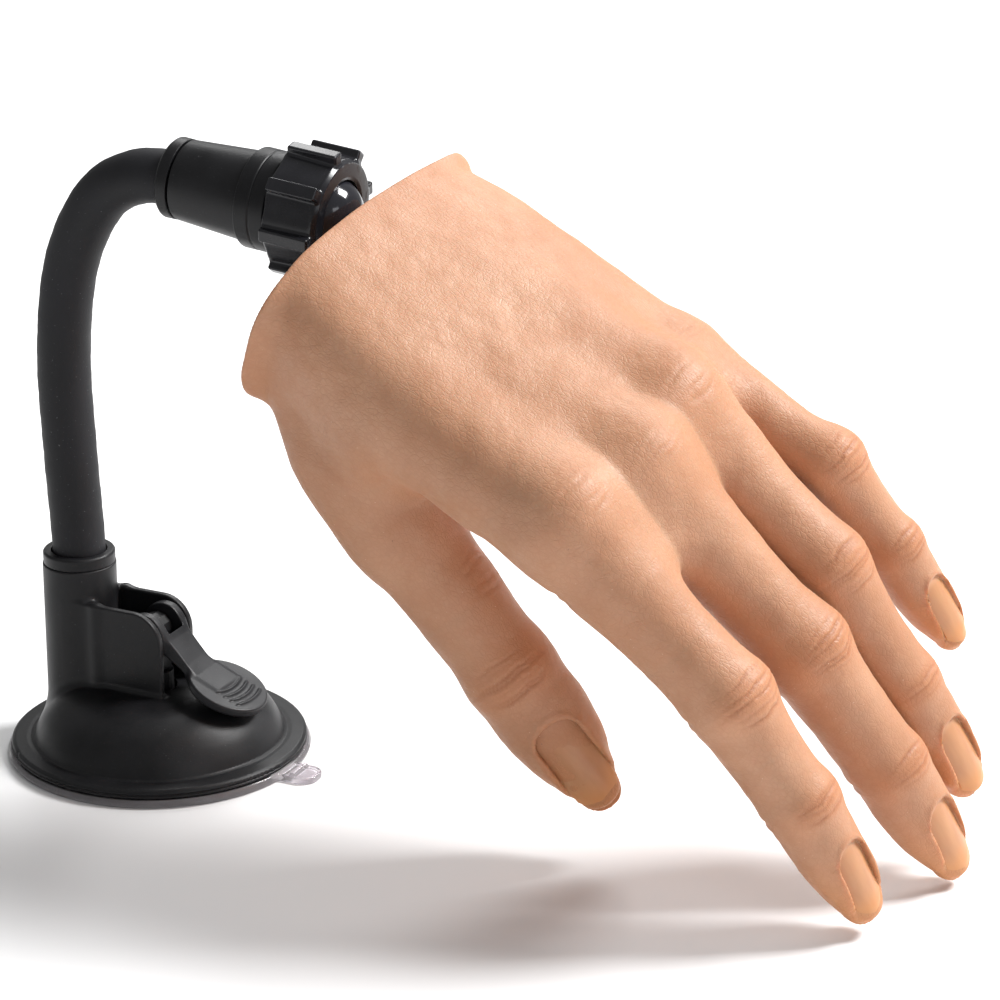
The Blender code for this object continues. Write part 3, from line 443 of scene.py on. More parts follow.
def silicone():
    """Soft tan silicone. The mask layer holds: red fingertip, green joint, blue palm side."""
    n = Nodes("silicone_skin")
    mask = n.split(n.layer("mask", "Color"))
    # painted shade: per-point amount that darkens the skin in the joint and knuckle creases
    crease = n.layer("crease")
    n.set(Subsurface_Weight=0.22, Subsurface_Radius=(1.0, 0.38, 0.20), Subsurface_Scale=0.0025, Specular_IOR_Level=0.42)
    broad = n.noise(28.0, 3.0, 0.5)
    mid = n.noise(160.0, 4.0, 0.6)
    base = n.mix(n.map(broad, 0.35, 0.68), (0.470, 0.232, 0.128), (0.550, 0.300, 0.182))
    base = n.mix(n.map(mid, 0.40, 0.75, 0.0, 0.45), base, (0.440, 0.198, 0.100))
    base = n.mix(n.math("MULTIPLY", mask[2], 0.35), base, (0.56, 0.28, 0.17))
    base = n.mix(n.math("MULTIPLY", mask[1], 0.55), base, (0.52, 0.215, 0.095))
    base = n.mix(n.math("MULTIPLY", mask[0], 0.80), base, (0.560, 0.240, 0.095))
    # painted shade: this darkens the skin colour along the joint and knuckle creases
    base = n.mix(n.math("MULTIPLY", crease, 0.75), base, (0.36, 0.13, 0.055))
    # fine lines that cross, and pores
    lines = n.cells(950.0, co=n.stretch((0.55, 1.25, 0.9), (0, 0, 34)))
    lines2 = n.cells(620.0, co=n.stretch((1.3, 0.55, 0.9), (0, 10, -28)))
    groove = n.math("MULTIPLY", n.map(lines, 0.0, 0.13), n.map(lines2, 0.0, 0.10, 0.35, 1.0))
    pores = n.map(n.cells(1500.0, "F1"), 0.05, 0.32)
    base = n.mix(n.map(groove, 0.0, 1.0, 0.20, 0.0), base, (0.40, 0.17, 0.085))
    specks = n.map(n.noise(2600.0, 0.0, 0.4), 0.845, 0.90)
    base = n.mix(n.math("MULTIPLY", specks, 0.45), base, (0.85, 0.68, 0.55))
    dark = n.map(n.noise(1900.0, 0.0, 0.4, n.stretch((1, 1, 1), (40, 20, 0))), 0.85, 0.90)
    base = n.mix(n.math("MULTIPLY", dark, 0.55), base, (0.25, 0.13, 0.09))
    n.link(base, n.bsdf.inputs["Base Color"])
    n.link(n.map(mid, 0.3, 0.7, 0.44, 0.60), n.bsdf.inputs["Roughness"])
    h = n.math("ADD", n.math("MULTIPLY", groove, 0.65), n.math("MULTIPLY", pores, 0.35))
    first = n.bump(h, 0.55, 0.00011)
    n.link(n.bump(mid, 0.35, 0.00035, first), n.bsdf.inputs["Normal"])
    return n.mat


SKIN = silicone()


def nail_material():
    n = Nodes("nail_silicone")
    n.set(Subsurface_Weight=0.25, Subsurface_Radius=(1.0, 0.40, 0.20), Subsurface_Scale=0.002, Specular_IOR_Level=0.5)
    along = n.layer("along")
    streak = n.noise(260.0, 3.0, 0.6, n.stretch((0.12, 1.0, 1.0)))
    base = n.mix(n.map(streak, 0.3, 0.7), (0.470, 0.212, 0.096), (0.560, 0.280, 0.138))
    base = n.mix(n.map(along, 0.62, 1.0, 0.0, 0.75, True), base, (0.66, 0.27, 0.085))
    base = n.mix(n.map(along, 0.12, 0.0, 0.0, 0.5, True), base, (0.74, 0.46, 0.31))
    n.link(base, n.bsdf.inputs["Base Color"])
    n.link(n.map(streak, 0.3, 0.7, 0.30, 0.42), n.bsdf.inputs["Roughness"])
    n.link(n.bump(streak, 0.25, 0.00012), n.bsdf.inputs["Normal"])
    return n.mat


NAIL = nail_material()

# ================================================================ hand skeleton
def rot(axis, deg):
    a = radians(deg)
    c, s = cos(a), sin(a)
    m = np.eye(4)
    i, j = {"X": (1, 2), "Y": (2, 0), "Z": (0, 1)}[axis]
    m[i, i], m[i, j], m[j, i], m[j, j] = c, -s, s, c
    return m


def mov(x, y, z):
    m = np.eye(4)
    m[:3, 3] = (x, y, z)
    return m


# the hand's frame: x to the fingers, y to the little finger's side, z out of the back
HAND = mov(32.6, -3.7, 131.7) @ rot("Z", -5.92) @ rot("Y", 21.84) @ rot("X", 24.24)
WRIST_X, CUT_X = 24.65, 23.5
# knuckle, bone lengths, radii at knuckle / middle / end joint / tip, spread, bends
FINGERS = {
    "index": ((96.4, -26.2, -1.1), (48.3, 26.7, 27.6), (12.4, 9.6, 8.2, 4.6), 0.1, (25.5, 14.8, 4.0)),
    "middle": ((99.5, -5.8, -2.6), (50.5, 31.6, 28.1), (12.2, 9.8, 8.3, 4.6), -4.8, (31.2, 11.2, 2.5)),
    "ring": ((93.3, 14.0, -5.0), (46.6, 30.6, 28.1), (11.8, 9.3, 7.9, 4.6), -1.2, (25.0, 17.5, -0.7)),
    "little": ((85.9, 30.5, -14.6), (36.9, 22.5, 25.8), (10.2, 8.1, 6.9, 4.0), -2.9, (5.6, 31.8, 3.4)),
}
THUMB_ROOT, THUMB_LEN, THUMB_RAD = (18.3, -26.0, -4.0), (50.5, 37.9, 31.6), (13.0, 11.5, 9.7, 4.9)
THUMB_AZ, THUMB_EL, THUMB_ROLL, THUMB_BENDS = 2.1, 34.4, 34.0, (0.0, 0.0)
ORDER = ("index", "middle", "ring", "little")


def finger_frames(spec):
    (x, y, z), lengths, _, spread, bends = spec
    m = mov(x, y, z) @ rot("Z", -spread)
    out = []
    for b, l in zip(bends, lengths):
        m = m @ rot("Y", b)
        out.append(m)
        m = m @ mov(l, 0, 0)
    return out + [m]


def thumb_frames():
    az, el = radians(THUMB_AZ), radians(THUMB_EL)
    d = np.array((cos(el) * cos(az), -cos(el) * sin(az), -sin(el)))
    up = np.array((0.0, 0.0, 1.0))
    n = up - (up @ d) * d
    n /= np.linalg.norm(n)
    a = radians(THUMB_ROLL)
    n = n * cos(a) + np.cross(d, n) * sin(a)
    m = np.eye(4)
    m[:3, 0], m[:3, 1], m[:3, 2], m[:3, 3] = d, np.cross(n, d), n, THUMB_ROOT
    out = [m]
    for b, l in zip(THUMB_BENDS + (0.0,), THUMB_LEN):
        m = m @ mov(l, 0, 0)
        if len(out) < 3:
            m = m @ rot("Y", b)
        out.append(m)
    return out


SHIFT = mov(0.0, 1.3, 0.0)
FR = {n: [SHIFT @ m for m in finger_frames(s)] for n, s in FINGERS.items()}
TH = thumb_frames()


def local(m, p):
    return (p - m[:3, 3]) @ m[:3, :3]


class Limb:
    """Rounded limb along local x, with its own radius to the side, back and palm."""

    def __init__(self, m, length, side, back, palm):
        self.m, self.n = m, length
        self.t = np.linspace(0, 1, 81)
        self.side, self.back, self.palm = (self.table(k) for k in (side, back, palm))

    def table(self, knots):
        k = smooth_line(knots, 16)
        return np.interp(self.t, k[:, 0], k[:, 1])

    def __call__(self, p):
        q = local(self.m, p)
        t = np.clip(q[:, 0] / self.n, 0, 1)
        dx = q[:, 0] - t * self.n
        ry = np.interp(t, self.t, self.side)
        rz = np.where(q[:, 2] > 0, np.interp(t, self.t, self.back), np.interp(t, self.t, self.palm))
        low = np.minimum(ry, rz)
        return (np.sqrt((dx / low) ** 2 + (q[:, 1] / ry) ** 2 + (q[:, 2] / rz) ** 2) - 1) * low


def toward(a, b):
    """Frame at a whose x runs to b and whose z is near the hand's z."""
    a, b = np.array(a, float), np.array(b, float)
    x = (b - a) / np.linalg.norm(b - a)
    y = np.cross((0.0, 0.0, 1.0), x)
    y /= np.linalg.norm(y)
    m = np.eye(4)
    m[:3, 0], m[:3, 1], m[:3, 2], m[:3, 3] = x, y, np.cross(x, y), a
    return m, float(np.linalg.norm(b - a))


SIDE = 0.90
CLIP = {"index": 2.0, "middle": 2.0, "ring": 3.0, "little": 2.6}
LIMBS, PALM = {}, []
for k, name in enumerate(ORDER):
    spec = FINGERS[name]
    root = (10.0, -19.0 + 13.0 * k, -1.6)
    m, length = toward(root, (SHIFT @ np.array((*spec[0], 1.0)))[:3])
    r = spec[2][0]
    edge = k in (0, 3)
    PALM.append(Limb(m, length, [(0, 11.4 if edge else 13.0), (0.4, 12.6), (0.75, r * 1.0), (1, r * 0.92)],
                     [(0, (19.0, 19.2, 16.0, 11.8)[k]), (0.35, (15.2, 15.0, 13.8, 12.6)[k]), (0.7, 12.0), (0.9, r * 0.94), (1, r * 0.90)],
                     [(0, 9.0 if k == 0 else 13.5), (0.4, 11.5 if k == 0 else 14.2), (0.75, 13.8), (1, r * 1.0)]))
    l, f = spec[1], FR[name]
    ra, rb, rc, rd = spec[2]
    s = SIDE
    LIMBS[name] = [
        Limb(f[0], l[0], [(0, ra * 0.90), (0.3, (ra * 0.68 + rb * 0.32) * 0.92), (0.65, rb * 0.97 * s * 1.02), (1, rb * s * 1.04)],
             [(0, ra * 0.95), (0.3, (ra * 0.6 + rb * 0.4) * 0.94), (0.65, rb * 0.95), (1, rb * 1.02)],
             [(0, ra), (0.3, ra * 0.9), (0.65, rb * 1.02), (1, rb)]),
        Limb(f[1], l[1], [(0, rb * s * 1.04), (0.5, (rb + rc) / 2 * 0.93 * s * 1.04), (1, rc * s * 1.05)],
             [(0, rb * 1.02), (0.5, (rb + rc) / 2 * 0.93), (1, rc * 1.0)],
             [(0, rb), (0.5, (rb + rc) / 2 * 1.04), (1, rc)]),
        Limb(f[2], l[2] - CLIP[name], [(0, rc * s * 1.05), (0.35, rc * 0.97 * s * 1.06), (0.7, rc * 0.86 * s * 1.06), (0.9, rd * 1.22), (1, rd * 1.05)],
             [(0, rc), (0.35, rc * 0.88), (0.7, rc * 0.74), (1, rd * 0.92)],
             [(0, rc), (0.4, rc * 1.02), (0.75, rc * 0.92), (1, rd * 1.05)]),
    ]
tr = THUMB_RAD
THUMB_BASE = Limb(TH[0], THUMB_LEN[0], [(0, 4.0), (0.25, 6.0), (0.55, 10.6), (0.8, 11.8), (1, tr[1] * 0.98)],
                  [(0, 4.0), (0.25, 6.0), (0.55, 10.8), (0.8, 11.8), (1, tr[1])],
                  [(0, 4.0), (0.25, 7.0), (0.55, 11.2), (0.8, 11.9), (1, tr[1])])
LIMBS["thumb"] = [
    Limb(TH[1], THUMB_LEN[1], [(0, tr[1] * 0.98), (0.4, 10.1), (0.75, 9.5), (1, tr[2] * 1.0)],
         [(0, tr[1]), (0.4, 10.5), (0.75, 9.8), (1, tr[2] * 0.97)],
         [(0, tr[1]), (0.4, 10.6), (0.75, 9.7), (1, tr[2])]),
    Limb(TH[2], THUMB_LEN[2], [(0, tr[2] * 1.0), (0.35, tr[2] * 1.03), (0.7, tr[2] * 0.86), (0.9, tr[3] * 1.2), (1, tr[3] * 1.0)],
         [(0, tr[2] * 0.97), (0.35, tr[2] * 0.84), (0.7, tr[2] * 0.66), (1, tr[3] * 0.8)],
         [(0, tr[2]), (0.4, tr[2] * 1.0), (0.75, tr[2] * 0.86), (1, tr[3])]),
]


def on_bone(name, k, x, y=0.0, z=0.0):
    return (FR[name][k] @ np.array((x, y, z, 1.0)))[:3]


# webs: a short limb between neighbours, which ends where their gap opens
WEBS = []
for (a, b), (ta, tb), r in ((("index", "middle"), (0.30, 0.28), 7.2), (("middle", "ring"), (0.17, 0.18), 7.0), (("ring", "little"), (0.16, 0.18), 6.6)):
    p0 = (np.array(FINGERS[a][0]) + np.array(FINGERS[b][0])) / 2
    p1 = (on_bone(a, 0, ta * FINGERS[a][1][0]) + on_bone(b, 0, tb * FINGERS[b][1][0])) / 2
    m, length = toward(p0, p1)
    WEBS.append(Limb(m, length, [(0, r + 2), (1, r)], [(0, 8.5), (1, r)], [(0, 10.5), (1, r + 1)]))
THUMB_WEB = Limb(*toward((52.0, -26.0, -7.0), tuple((TH[0] @ np.array((40.0, 6.0, 4.0, 1.0)))[:3])), [(0, 10), (1, 8)], [(0, 9), (1, 8)], [(0, 9), (1, 8)])

# ball's centre, where the stud points, in the hand's frame
hd = radians(5.5)
HEAD = np.eye(4)
HEAD[:3, 2] = (cos(hd), 0, -sin(hd))
HEAD[:3, 0] = (sin(hd), 0, cos(hd))
HEAD[:3, 1] = np.cross(HEAD[:3, 2], HEAD[:3, 0])
HEAD[:3, 3] = (11.5, 0.0, 132.9)
BALL_S, BALL_R = 33.1, 8.3
ball_at = HEAD[:3, 3] + HEAD[:3, 2] * BALL_S
BX, BY, BZ = local(HAND, ball_at[None])[0]

# nails: cuticle, free edge (from the end joint), half width, sink, curve radius
NAILS = {
    "index": (11.0, 28.6, 4.2, 1.15, 5.6), "middle": (11.0, 29.0, 4.4, 1.15, 5.8), "ring": (10.8, 28.2, 4.2, 1.15, 5.6),
    "little": (9.8, 25.6, 3.6, 1.0, 4.8), "thumb": (12.6, 34.6, 5.4, 0.75, 7.6),
}


def nail_frame(name):
    return (TH[2], LIMBS["thumb"][1]) if name == "thumb" else (FR[name][2], LIMBS[name][2])


def nail_height(name, x, y):
    """Height of the plate's top over the bone's axis."""
    x0, x1, w, sink, curve = NAILS[name]
    _, limb = nail_frame(name)
    za = np.interp(x0 / limb.n, limb.t, limb.back) - sink
    zb = np.interp(1.0, limb.t, limb.back) * 0.80
    s = (x - x0) / (limb.n - x0)
    return za + (zb - za) * s + 0.55 * np.clip(s, -0.2, 1.4) * (1.1 - s) * 1.6 - y * y / (2 * curve)


def nail_outline(name, x, y):
    """Rough distance in plan to the nail's outline, negative inside it."""
    x0, x1, w, _, _ = NAILS[name]
    v = np.clip(np.abs(y) / w, 0, 1)
    start = x0 + 4.6 * (1 - np.sqrt(np.maximum(1 - v ** 2.4, 0)))
    return np.maximum(np.abs(y) - w, (start - x) * 0.85)


def hand_field(p):
    palm = PALM[0](p)
    for limb in PALM[1:]:
        palm = smin(palm, limb(p), 11.0)
    for web in WEBS:
        palm = smin(palm, web(p), 4.0)
    base = smin(THUMB_BASE(p), THUMB_WEB(p), 9.0)
    palm = smin(palm, base, 8.0)
    fingers = None
    for name in ORDER:
        a, b, c = LIMBS[name]
        f = smin(smin(a(p), b(p), 2.2), carve(name, p, c(p)), 2.0)
        fingers = f if fingers is None else smin(fingers, f, 1.0)
    out = smin(palm, fingers, 5.5)
    a, b = LIMBS["thumb"]
    out = smin(out, smin(a(p), carve("thumb", p, b(p)), 2.6), 4.0)
    # creases at the joints' palm sides
    for name, frames in [(n, FR[n]) for n in ORDER] + [("thumb", TH)]:
        for k in (0, 1, 2) if name != "thumb" else (1, 2):
            q = local(frames[k], p)
            r = (FINGERS[name][2] if name != "thumb" else THUMB_RAD)[k]
            low = ramp(-q[:, 2] / r, 0.05, 0.6) * (np.abs(q[:, 1]) < 1.4 * r) * (q[:, 2] > -1.7 * r)
            for dx, depth in ((0.0, 0.42), (2.6, 0.2)):
                out = out + depth * low * np.exp(-((q[:, 0] - dx - (10.5 if k == 0 and name != "thumb" else 0.0) + 0.04 * q[:, 1] ** 2 / r) / 0.85) ** 2)
    out = smax(out, CUT_X - p[:, 0], 0.7)
    out = smin(out, rod_field(p, (25.9, -28.6, -9.6), (32.0, -28.6, -9.6), 3.2) - 0.4, 1.6)
    bore = np.hypot(p[:, 1] - BY, p[:, 2] - BZ) - 3.6
    return smax(out, -np.maximum(bore, p[:, 0] - 32.7), 0.5)


def carve(name, p, d):
    """The recess that the nail lies in, and the fold round it."""
    m, limb = nail_frame(name)
    q = local(m, p)
    near = (np.abs(q[:, 0] - limb.n * 0.7) < limb.n) & (np.abs(q[:, 1]) < 12) & (q[:, 2] > 0) & (q[:, 2] < 14)
    if not near.any():
        return d
    q = q[near]
    side = nail_outline(name, q[:, 0], q[:, 1])
    top = nail_height(name, q[:, 0], np.clip(q[:, 1], -NAILS[name][2], NAILS[name][2]))
    lip = 0.34 * np.exp(-((side - 0.75) / 0.7) ** 2) * ramp(limb.n + 1.5 - q[:, 0], 0.0, 5.0)
    cut = np.maximum(side, (top - 0.28) - q[:, 2])
    out = d.copy()
    out[near] = smax(d[near] - lip, -cut, 0.45)
    return out


def crease_lines(x, y, r, count, gap, depth, width, seed, p):
    """Curved creases across a joint's back that draw together at its sides."""
    v = np.clip(y / (r * 0.95), -1, 1)
    wob = noise(p, 3.0, seed) * 0.45 + noise(p, 1.3, seed + 1) * 0.15
    out = np.zeros(len(x))
    for i in range(count):
        xi = (i - (count - 1) / 2) * gap + 0.25 * sin(seed * 7 + i * 2.3)
        line = xi * (1 - 0.45 * v * v) + wob
        strength = depth * (0.75 + 0.45 * sin(seed * 3 + i * 1.9)) * np.clip(1.15 - v * v * (1.0 + 0.25 * abs(xi)), 0, 1)
        out += strength * np.exp(-((x - line) / width) ** 2)
    return out


print("meshing the hand")
corner = np.array([f[3][:3, 3] for f in FR.values()] + [TH[3][:3, 3]])
lo = (CUT_X - 2.0, -60.0, corner[:, 2].min() - 9.0)
hi = (corner[:, 0].max() + 10.0, 60.0, 22.0)
STEP = 0.5
P, Q, NRM = surface(hand_field, lo, hi, STEP, 3)
print("hand points", len(P), "faces", len(Q))

# ---- masks and fine relief
mask = np.zeros((len(P), 3))
# painted shade for the creases: how much the skin colour is darkened in the joint and knuckle creases
crease = np.zeros(len(P))
relief = np.zeros(len(P))
back = ramp(NRM[:, 2], -0.15, 0.45)
for j, name in enumerate(ORDER + ("thumb",)):
    frames = TH if name == "thumb" else FR[name]
    radii = THUMB_RAD if name == "thumb" else FINGERS[name][2]
    own = np.min([limb(P) for limb in LIMBS[name]], axis=0)
    ours = ramp(-own, -2.6, -1.2)
    joints = ((2, 7, 1.45, 0.30, 11.0),) if name == "thumb" else ((1, 7, 1.5, 0.34, 9.5), (2, 5, 1.25, 0.24, 6.0))
    for k, count, gap, depth, reach in joints:
        q = local(frames[k], P)
        r = radii[k]
        up = ramp((NRM @ frames[k][:3, 2]), 0.15, 0.75) * ours
        fade = np.exp(-(np.maximum(np.abs(q[:, 0]) - reach * 0.55, 0) / (reach * 0.32)) ** 2)
        c = crease_lines(q[:, 0], q[:, 1], r, count, gap, 1.0, 0.34, j * 5 + k, P) * up * fade
        relief -= depth * np.clip(c, 0, 1.4)
        crease = np.maximum(crease, np.clip(c, 0, 1) * 0.9)
        swell = up * np.exp(-(q[:, 0] / (reach * 0.7)) ** 2)
        relief += 0.35 * swell
        mask[:, 1] = np.maximum(mask[:, 1], up * np.exp(-(q[:, 0] / (reach * 0.62)) ** 2))
    m, limb = nail_frame(name)
    q = local(m, P)
    mask[:, 0] = np.maximum(mask[:, 0], ours * ramp(q[:, 0], limb.n * 0.25, limb.n * 1.02))
for name in ORDER:                                   # knuckles on the back
    q = local(FR[name][0], P)
    d2 = (q[:, 0] / 9.0) ** 2 + (q[:, 1] / 8.0) ** 2
    up = back * np.exp(-d2)
    relief += (0.5 if name in ("index", "middle") else 0.35) * up
    c = crease_lines(q[:, 0] + 1.5, q[:, 1], 9.0, 5, 2.1, 1.0, 0.5, 40 + ORDER.index(name), P) * up
    relief -= 0.16 * c
    crease = np.maximum(crease, 0.22 * np.clip(c, 0, 1))
    mask[:, 1] = np.maximum(mask[:, 1], 0.35 * up)
mask[:, 2] = ramp(-NRM[:, 2], 0.1, 0.8)
inside = ramp(P[:, 0], CUT_X + 0.3, CUT_X + 2.0)
relief += (0.30 * noise(P, 13.0, 3) + 0.16 * noise(P, 5.0, 4) + 0.05 * noise(P, 1.7, 5)) * inside
# the cut edge at the wrist flares into a thin lip at its two corners
near_cut = ramp(CUT_X + 7.0 - P[:, 0], 0.0, 7.0)
corner_y = ramp(np.abs(P[:, 1] - 0.5), 22.0, 31.0)
flare = near_cut ** 2 * corner_y * 3.2
P2 = P + NRM * relief[:, None]
P2[:, 1] += flare * np.sign(P[:, 1] - 0.5)
P2[:, 2] += 0.6 * near_cut * corner_y * noise(P, 6.0, 8)


def face_normals(pts, quads):
    """Vertex normals from the faces round each point."""
    a, b, c, d = (pts[quads[:, i]] for i in range(4))
    fn = np.cross(c - a, d - b)
    out = np.zeros_like(pts)
    for i in range(4):
        for ax in range(3):
            out[:, ax] += np.bincount(quads[:, i], fn[:, ax], len(pts))
    return out / np.maximum(np.linalg.norm(out, axis=1), 1e-12)[:, None]


N2 = face_normals(P2, Q)

# ---- which finger a point belongs to, and how far it is from its neighbours
own = {n: np.min([limb(P) for limb in LIMBS[n]], axis=0) for n in ORDER + ("thumb",)}
names = ORDER + ("thumb",)
label = np.argmin(np.stack([own[n] for n in names]), axis=0)
edges = np.concatenate([Q[:, [0, 1]], Q[:, [1, 2]], Q[:, [2, 3]], Q[:, [3, 0]]])
edges = np.unique(np.sort(edges, 1), axis=0)
away = np.full(len(P), 99.0)
differ = label[edges[:, 0]] != label[edges[:, 1]]
rim = np.zeros(len(P), bool)
rim[edges[differ].ravel()] = True
shared = (label[Q] != label[Q[:, :1]]).any(1)          # every corner of a face that two fingers share
rim[Q[shared].ravel()] = True
away[rim] = 0.0
length = np.linalg.norm(P[edges[:, 0]] - P[edges[:, 1]], axis=1)
for _ in range(34):
    a, b = edges[:, 0], edges[:, 1]
    np.minimum.at(away, a, away[b] + length)
    np.minimum.at(away, b, away[a] + length)

CUT1 = {"index": 0.72, "middle": 0.72, "ring": 0.62, "little": 0.60}
PIECES = []                                           # name, faces, bodies or body, weights, replaced node
where = P[Q].mean(1)
face_label = label[Q[:, 0]]
taken = np.zeros(len(Q), bool)
for j, name in enumerate(names):
    thumb = name == "thumb"
    frames = TH if thumb else FR[name]
    lengths = THUMB_LEN[1:] if thumb else FINGERS[name][1]
    first = frames[1] if thumb else frames[0]
    before = TH[0][:3, 0] if thumb else rot("Z", -FINGERS[name][3])[:3, 0]
    axis = before + first[:3, 0]
    axis /= np.linalg.norm(axis)
    s = (P - first[:3, 3]) @ axis
    q = local(first, P)
    r = THUMB_RAD[1] if thumb else FINGERS[name][2][0]
    cut = (0.55 if thumb else CUT1[name]) * lengths[0]
    free = np.maximum(ramp(away, 0.0, 8.0), ramp(q[:, 0], cut - 6.0, cut - 1.0) if not thumb else 0.0)
    w = ramp(s, -10.0 if not thumb else -11.0, 11.0) * free * (label == j)
    w[w < 0.002] = 0.0
    w[(w > 0.998)] = 1.0
    fx = local(first, where)[:, 0]
    mine = (face_label == j) & (w[Q].max(1) > 0)
    beyond = mine & (fx > cut)
    taken |= mine
    lead = "thumb" if thumb else name
    zones = [(mine & ~beyond, ("palm", lead + "_proximal"), w, lead + "_proximal_skin")]
    rest_faces = beyond
    for k in range(1, 2 if thumb else 3):
        m = frames[k + 1] if thumb else frames[k]
        bone_before = (frames[k] if thumb else frames[k - 1])[:3, 0]
        ax = bone_before + m[:3, 0]
        ax /= np.linalg.norm(ax)
        wk = ramp((P - m[:3, 3]) @ ax, -7.5 if not thumb else -9.0, 7.5 if not thumb else 9.0)
        last = thumb or k == 2
        if last:
            zone = rest_faces
        else:
            zone = rest_faces & (local(m, where)[:, 0] <= 0.5 * lengths[k])
            rest_faces = rest_faces & ~zone
        pair = (lead + "_proximal", lead + "_distal") if thumb else ((lead + "_proximal", lead + "_middle"), (lead + "_middle", lead + "_distal"))[k - 1]
        node = lead + ("_distal_skin" if last else "_middle_skin")
        zones.append((zone, pair, wk, node))
    PIECES += zones
PIECES.append((~taken, "palm", None, "palm_skin"))

for faces, bodies, w, node in PIECES:
    used, index = np.unique(Q[faces], return_inverse=True)
    ob = new_object("soft_" + node.replace("_skin", ""), P2[used], index.reshape(-1, 4), N2[used], SKIN, HAND, P[used])
    colour_layer(ob, "mask", mask[used])
    number_layer(ob, "crease", crease[used])
    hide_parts(node)
    if w is None:
        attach(ob, bodies)
    else:
        c = P2[used] @ HAND[:3, :3].T + HAND[:3, 3]
        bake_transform(ob)
    print(ob.name, len(used), bodies)

# ---- nails
for name in names:
    x0, x1, half, sink, curve = NAILS[name]
    m, limb = nail_frame(name)
    nu, nv = 44, 33
    s, v = np.meshgrid(np.linspace(0, 1, nu), np.linspace(-1, 1, nv), indexing="ij")
    start = x0 + 4.6 * (1 - np.sqrt(np.maximum(1 - np.abs(v) ** 2.4, 0)))
    stop = x1 - (2.6 if name != "thumb" else 3.4) * np.abs(v) ** 2.2
    x = start - 0.25 + (stop - start + 0.25) * s
    y = v * half * (0.985 - 0.05 * s)
    z = nail_height(name, x, y) - 0.08 + 0.05 * noise(np.stack([x * 0.3, y, 0 * y], -1).reshape(-1, 3), 1.6, 9).reshape(x.shape)
    tip = ramp(s, 0.86, 1.0)
    z = z - 0.25 * tip * tip
    top = np.stack([x, y, z], -1).reshape(-1, 3)
    under = top - np.array((0, 0, 0.55))
    pts = np.vstack([top, under])
    k = np.arange(nu * nv).reshape(nu, nv)
    quads = [np.stack([k[:-1, :-1], k[1:, :-1], k[1:, 1:], k[:-1, 1:]], -1).reshape(-1, 4)]
    quads.append(quads[0][:, ::-1] + nu * nv)
    ringed = np.concatenate([k[:, 0], k[-1, 1:], k[-2::-1, -1], k[0, -2:0:-1]])
    nxt = np.roll(ringed, -1)
    quads.append(np.stack([ringed, ringed + nu * nv, nxt + nu * nv, nxt], 1))
    quads = np.concatenate(quads)
    ob = new_object("nail_" + name, pts, quads, None, NAIL, HAND @ m)
    number_layer(ob, "along", np.concatenate([s.ravel()] * 2))
    bm = bmesh.new()
    bm.from_mesh(ob.data)
    bmesh.ops.recalc_face_normals(bm, faces=bm.faces)
    bm.to_mesh(ob.data)
    bm.free()
    bev = ob.modifiers.new("edge", "BEVEL")
    bev.width, bev.segments, bev.limit_method, bev.angle_limit = 0.00016, 2, "ANGLE", radians(50)
    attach(ob, name + "_distal")

# ================================================================ base
BASE_SKY = smooth_line([(12.0, 15.2), (16.0, 14.8), (19.5, 13.8), (22.6, 12.0), (25.0, 9.6), (26.7, 7.0), (27.9, 4.3)], 8)
OUTLINE = [(4.2, 15.2)] + [tuple(p) for p in BASE_SKY] + [
    (28.6, 3.95), (29.6, 4.0), (32.2, 3.9), (32.8, 3.5), (33.0, 3.0), (32.6, 2.75), (33.0, 2.5), (33.0, 2.1), (32.6, 1.9),
    (25.6, 1.9), (25.2, 4.6), (23.6, 7.8), (20.6, 10.4), (16.5, 12.0), (12.0, 12.8), (4.2, 12.8)]
POST_X, POST_R, POST_TOP = -19.4, 8.2, 41.2
CHEEK = [(-19.4, 12.5), (5.2, 12.5)] + [(5.2 - 7.0 + 7.0 * cos(radians(6 * k)), 34.3 - 7.0 + 7.0 * sin(radians(6 * k))) for k in range(16)] + [(-19.4, 34.3)]


def housing_field(p):
    body = turned_field(p, OUTLINE)
    post = rod_field(p, (POST_X, 0, 3.0), (POST_X, 0, POST_TOP), POST_R - 0.25) - 0.25
    d = smin(body, post, 2.4)
    cheek2 = polygon(p[:, [0, 2]], CHEEK)
    cheeks = slab_field(cheek2, np.abs(p[:, 1]) - 6.45, 0.8, 0.35)
    bulge = 0.55 * np.exp(-((p[:, 0] + 11.6) / 1.6) ** 2)
    cheeks = cheeks - bulge * (p[:, 0] < -8)
    d = smin(d, cheeks, 1.5)
    well = np.hypot(p[:, 0], p[:, 1]) - 4.2
    d = smax(d, -np.maximum(well, 11.0 - p[:, 2]) , 0.3)
    bore = np.hypot(p[:, 0] - POST_X, p[:, 1]) - 7.2
    d = smax(d, -np.maximum(bore, 24.0 - p[:, 2]), 0.35)
    under = turned_field(p, [(0, 1.0), (25.6, 1.0), (25.2, 4.6), (23.6, 7.8), (20.6, 10.4), (16.5, 12.0), (12.0, 12.8), (0, 12.8)])
    d = np.maximum(d, -np.maximum(under, np.hypot(p[:, 0], p[:, 1]) - 25.6))
    notch = rod_field(p, (-22.5, -24.5, 1.0), (-22.5, -24.5, 6.0), 0.8)
    return smax(d, -notch, 0.2)


def field_piece(name, field, lo, hi, step, mat, matrix=None, steps=3):
    p, q, n = surface(field, lo, hi, step, steps)
    print(name, len(p))
    return new_object(name, p, q, n, mat, matrix)


FINE = 0.36
ob = field_piece("housing", housing_field, (-34.5, -34.5, 0.5), (34.5, 34.5, 43.0), FINE, MOULDED)
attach(ob, "base")
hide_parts("base_housing")


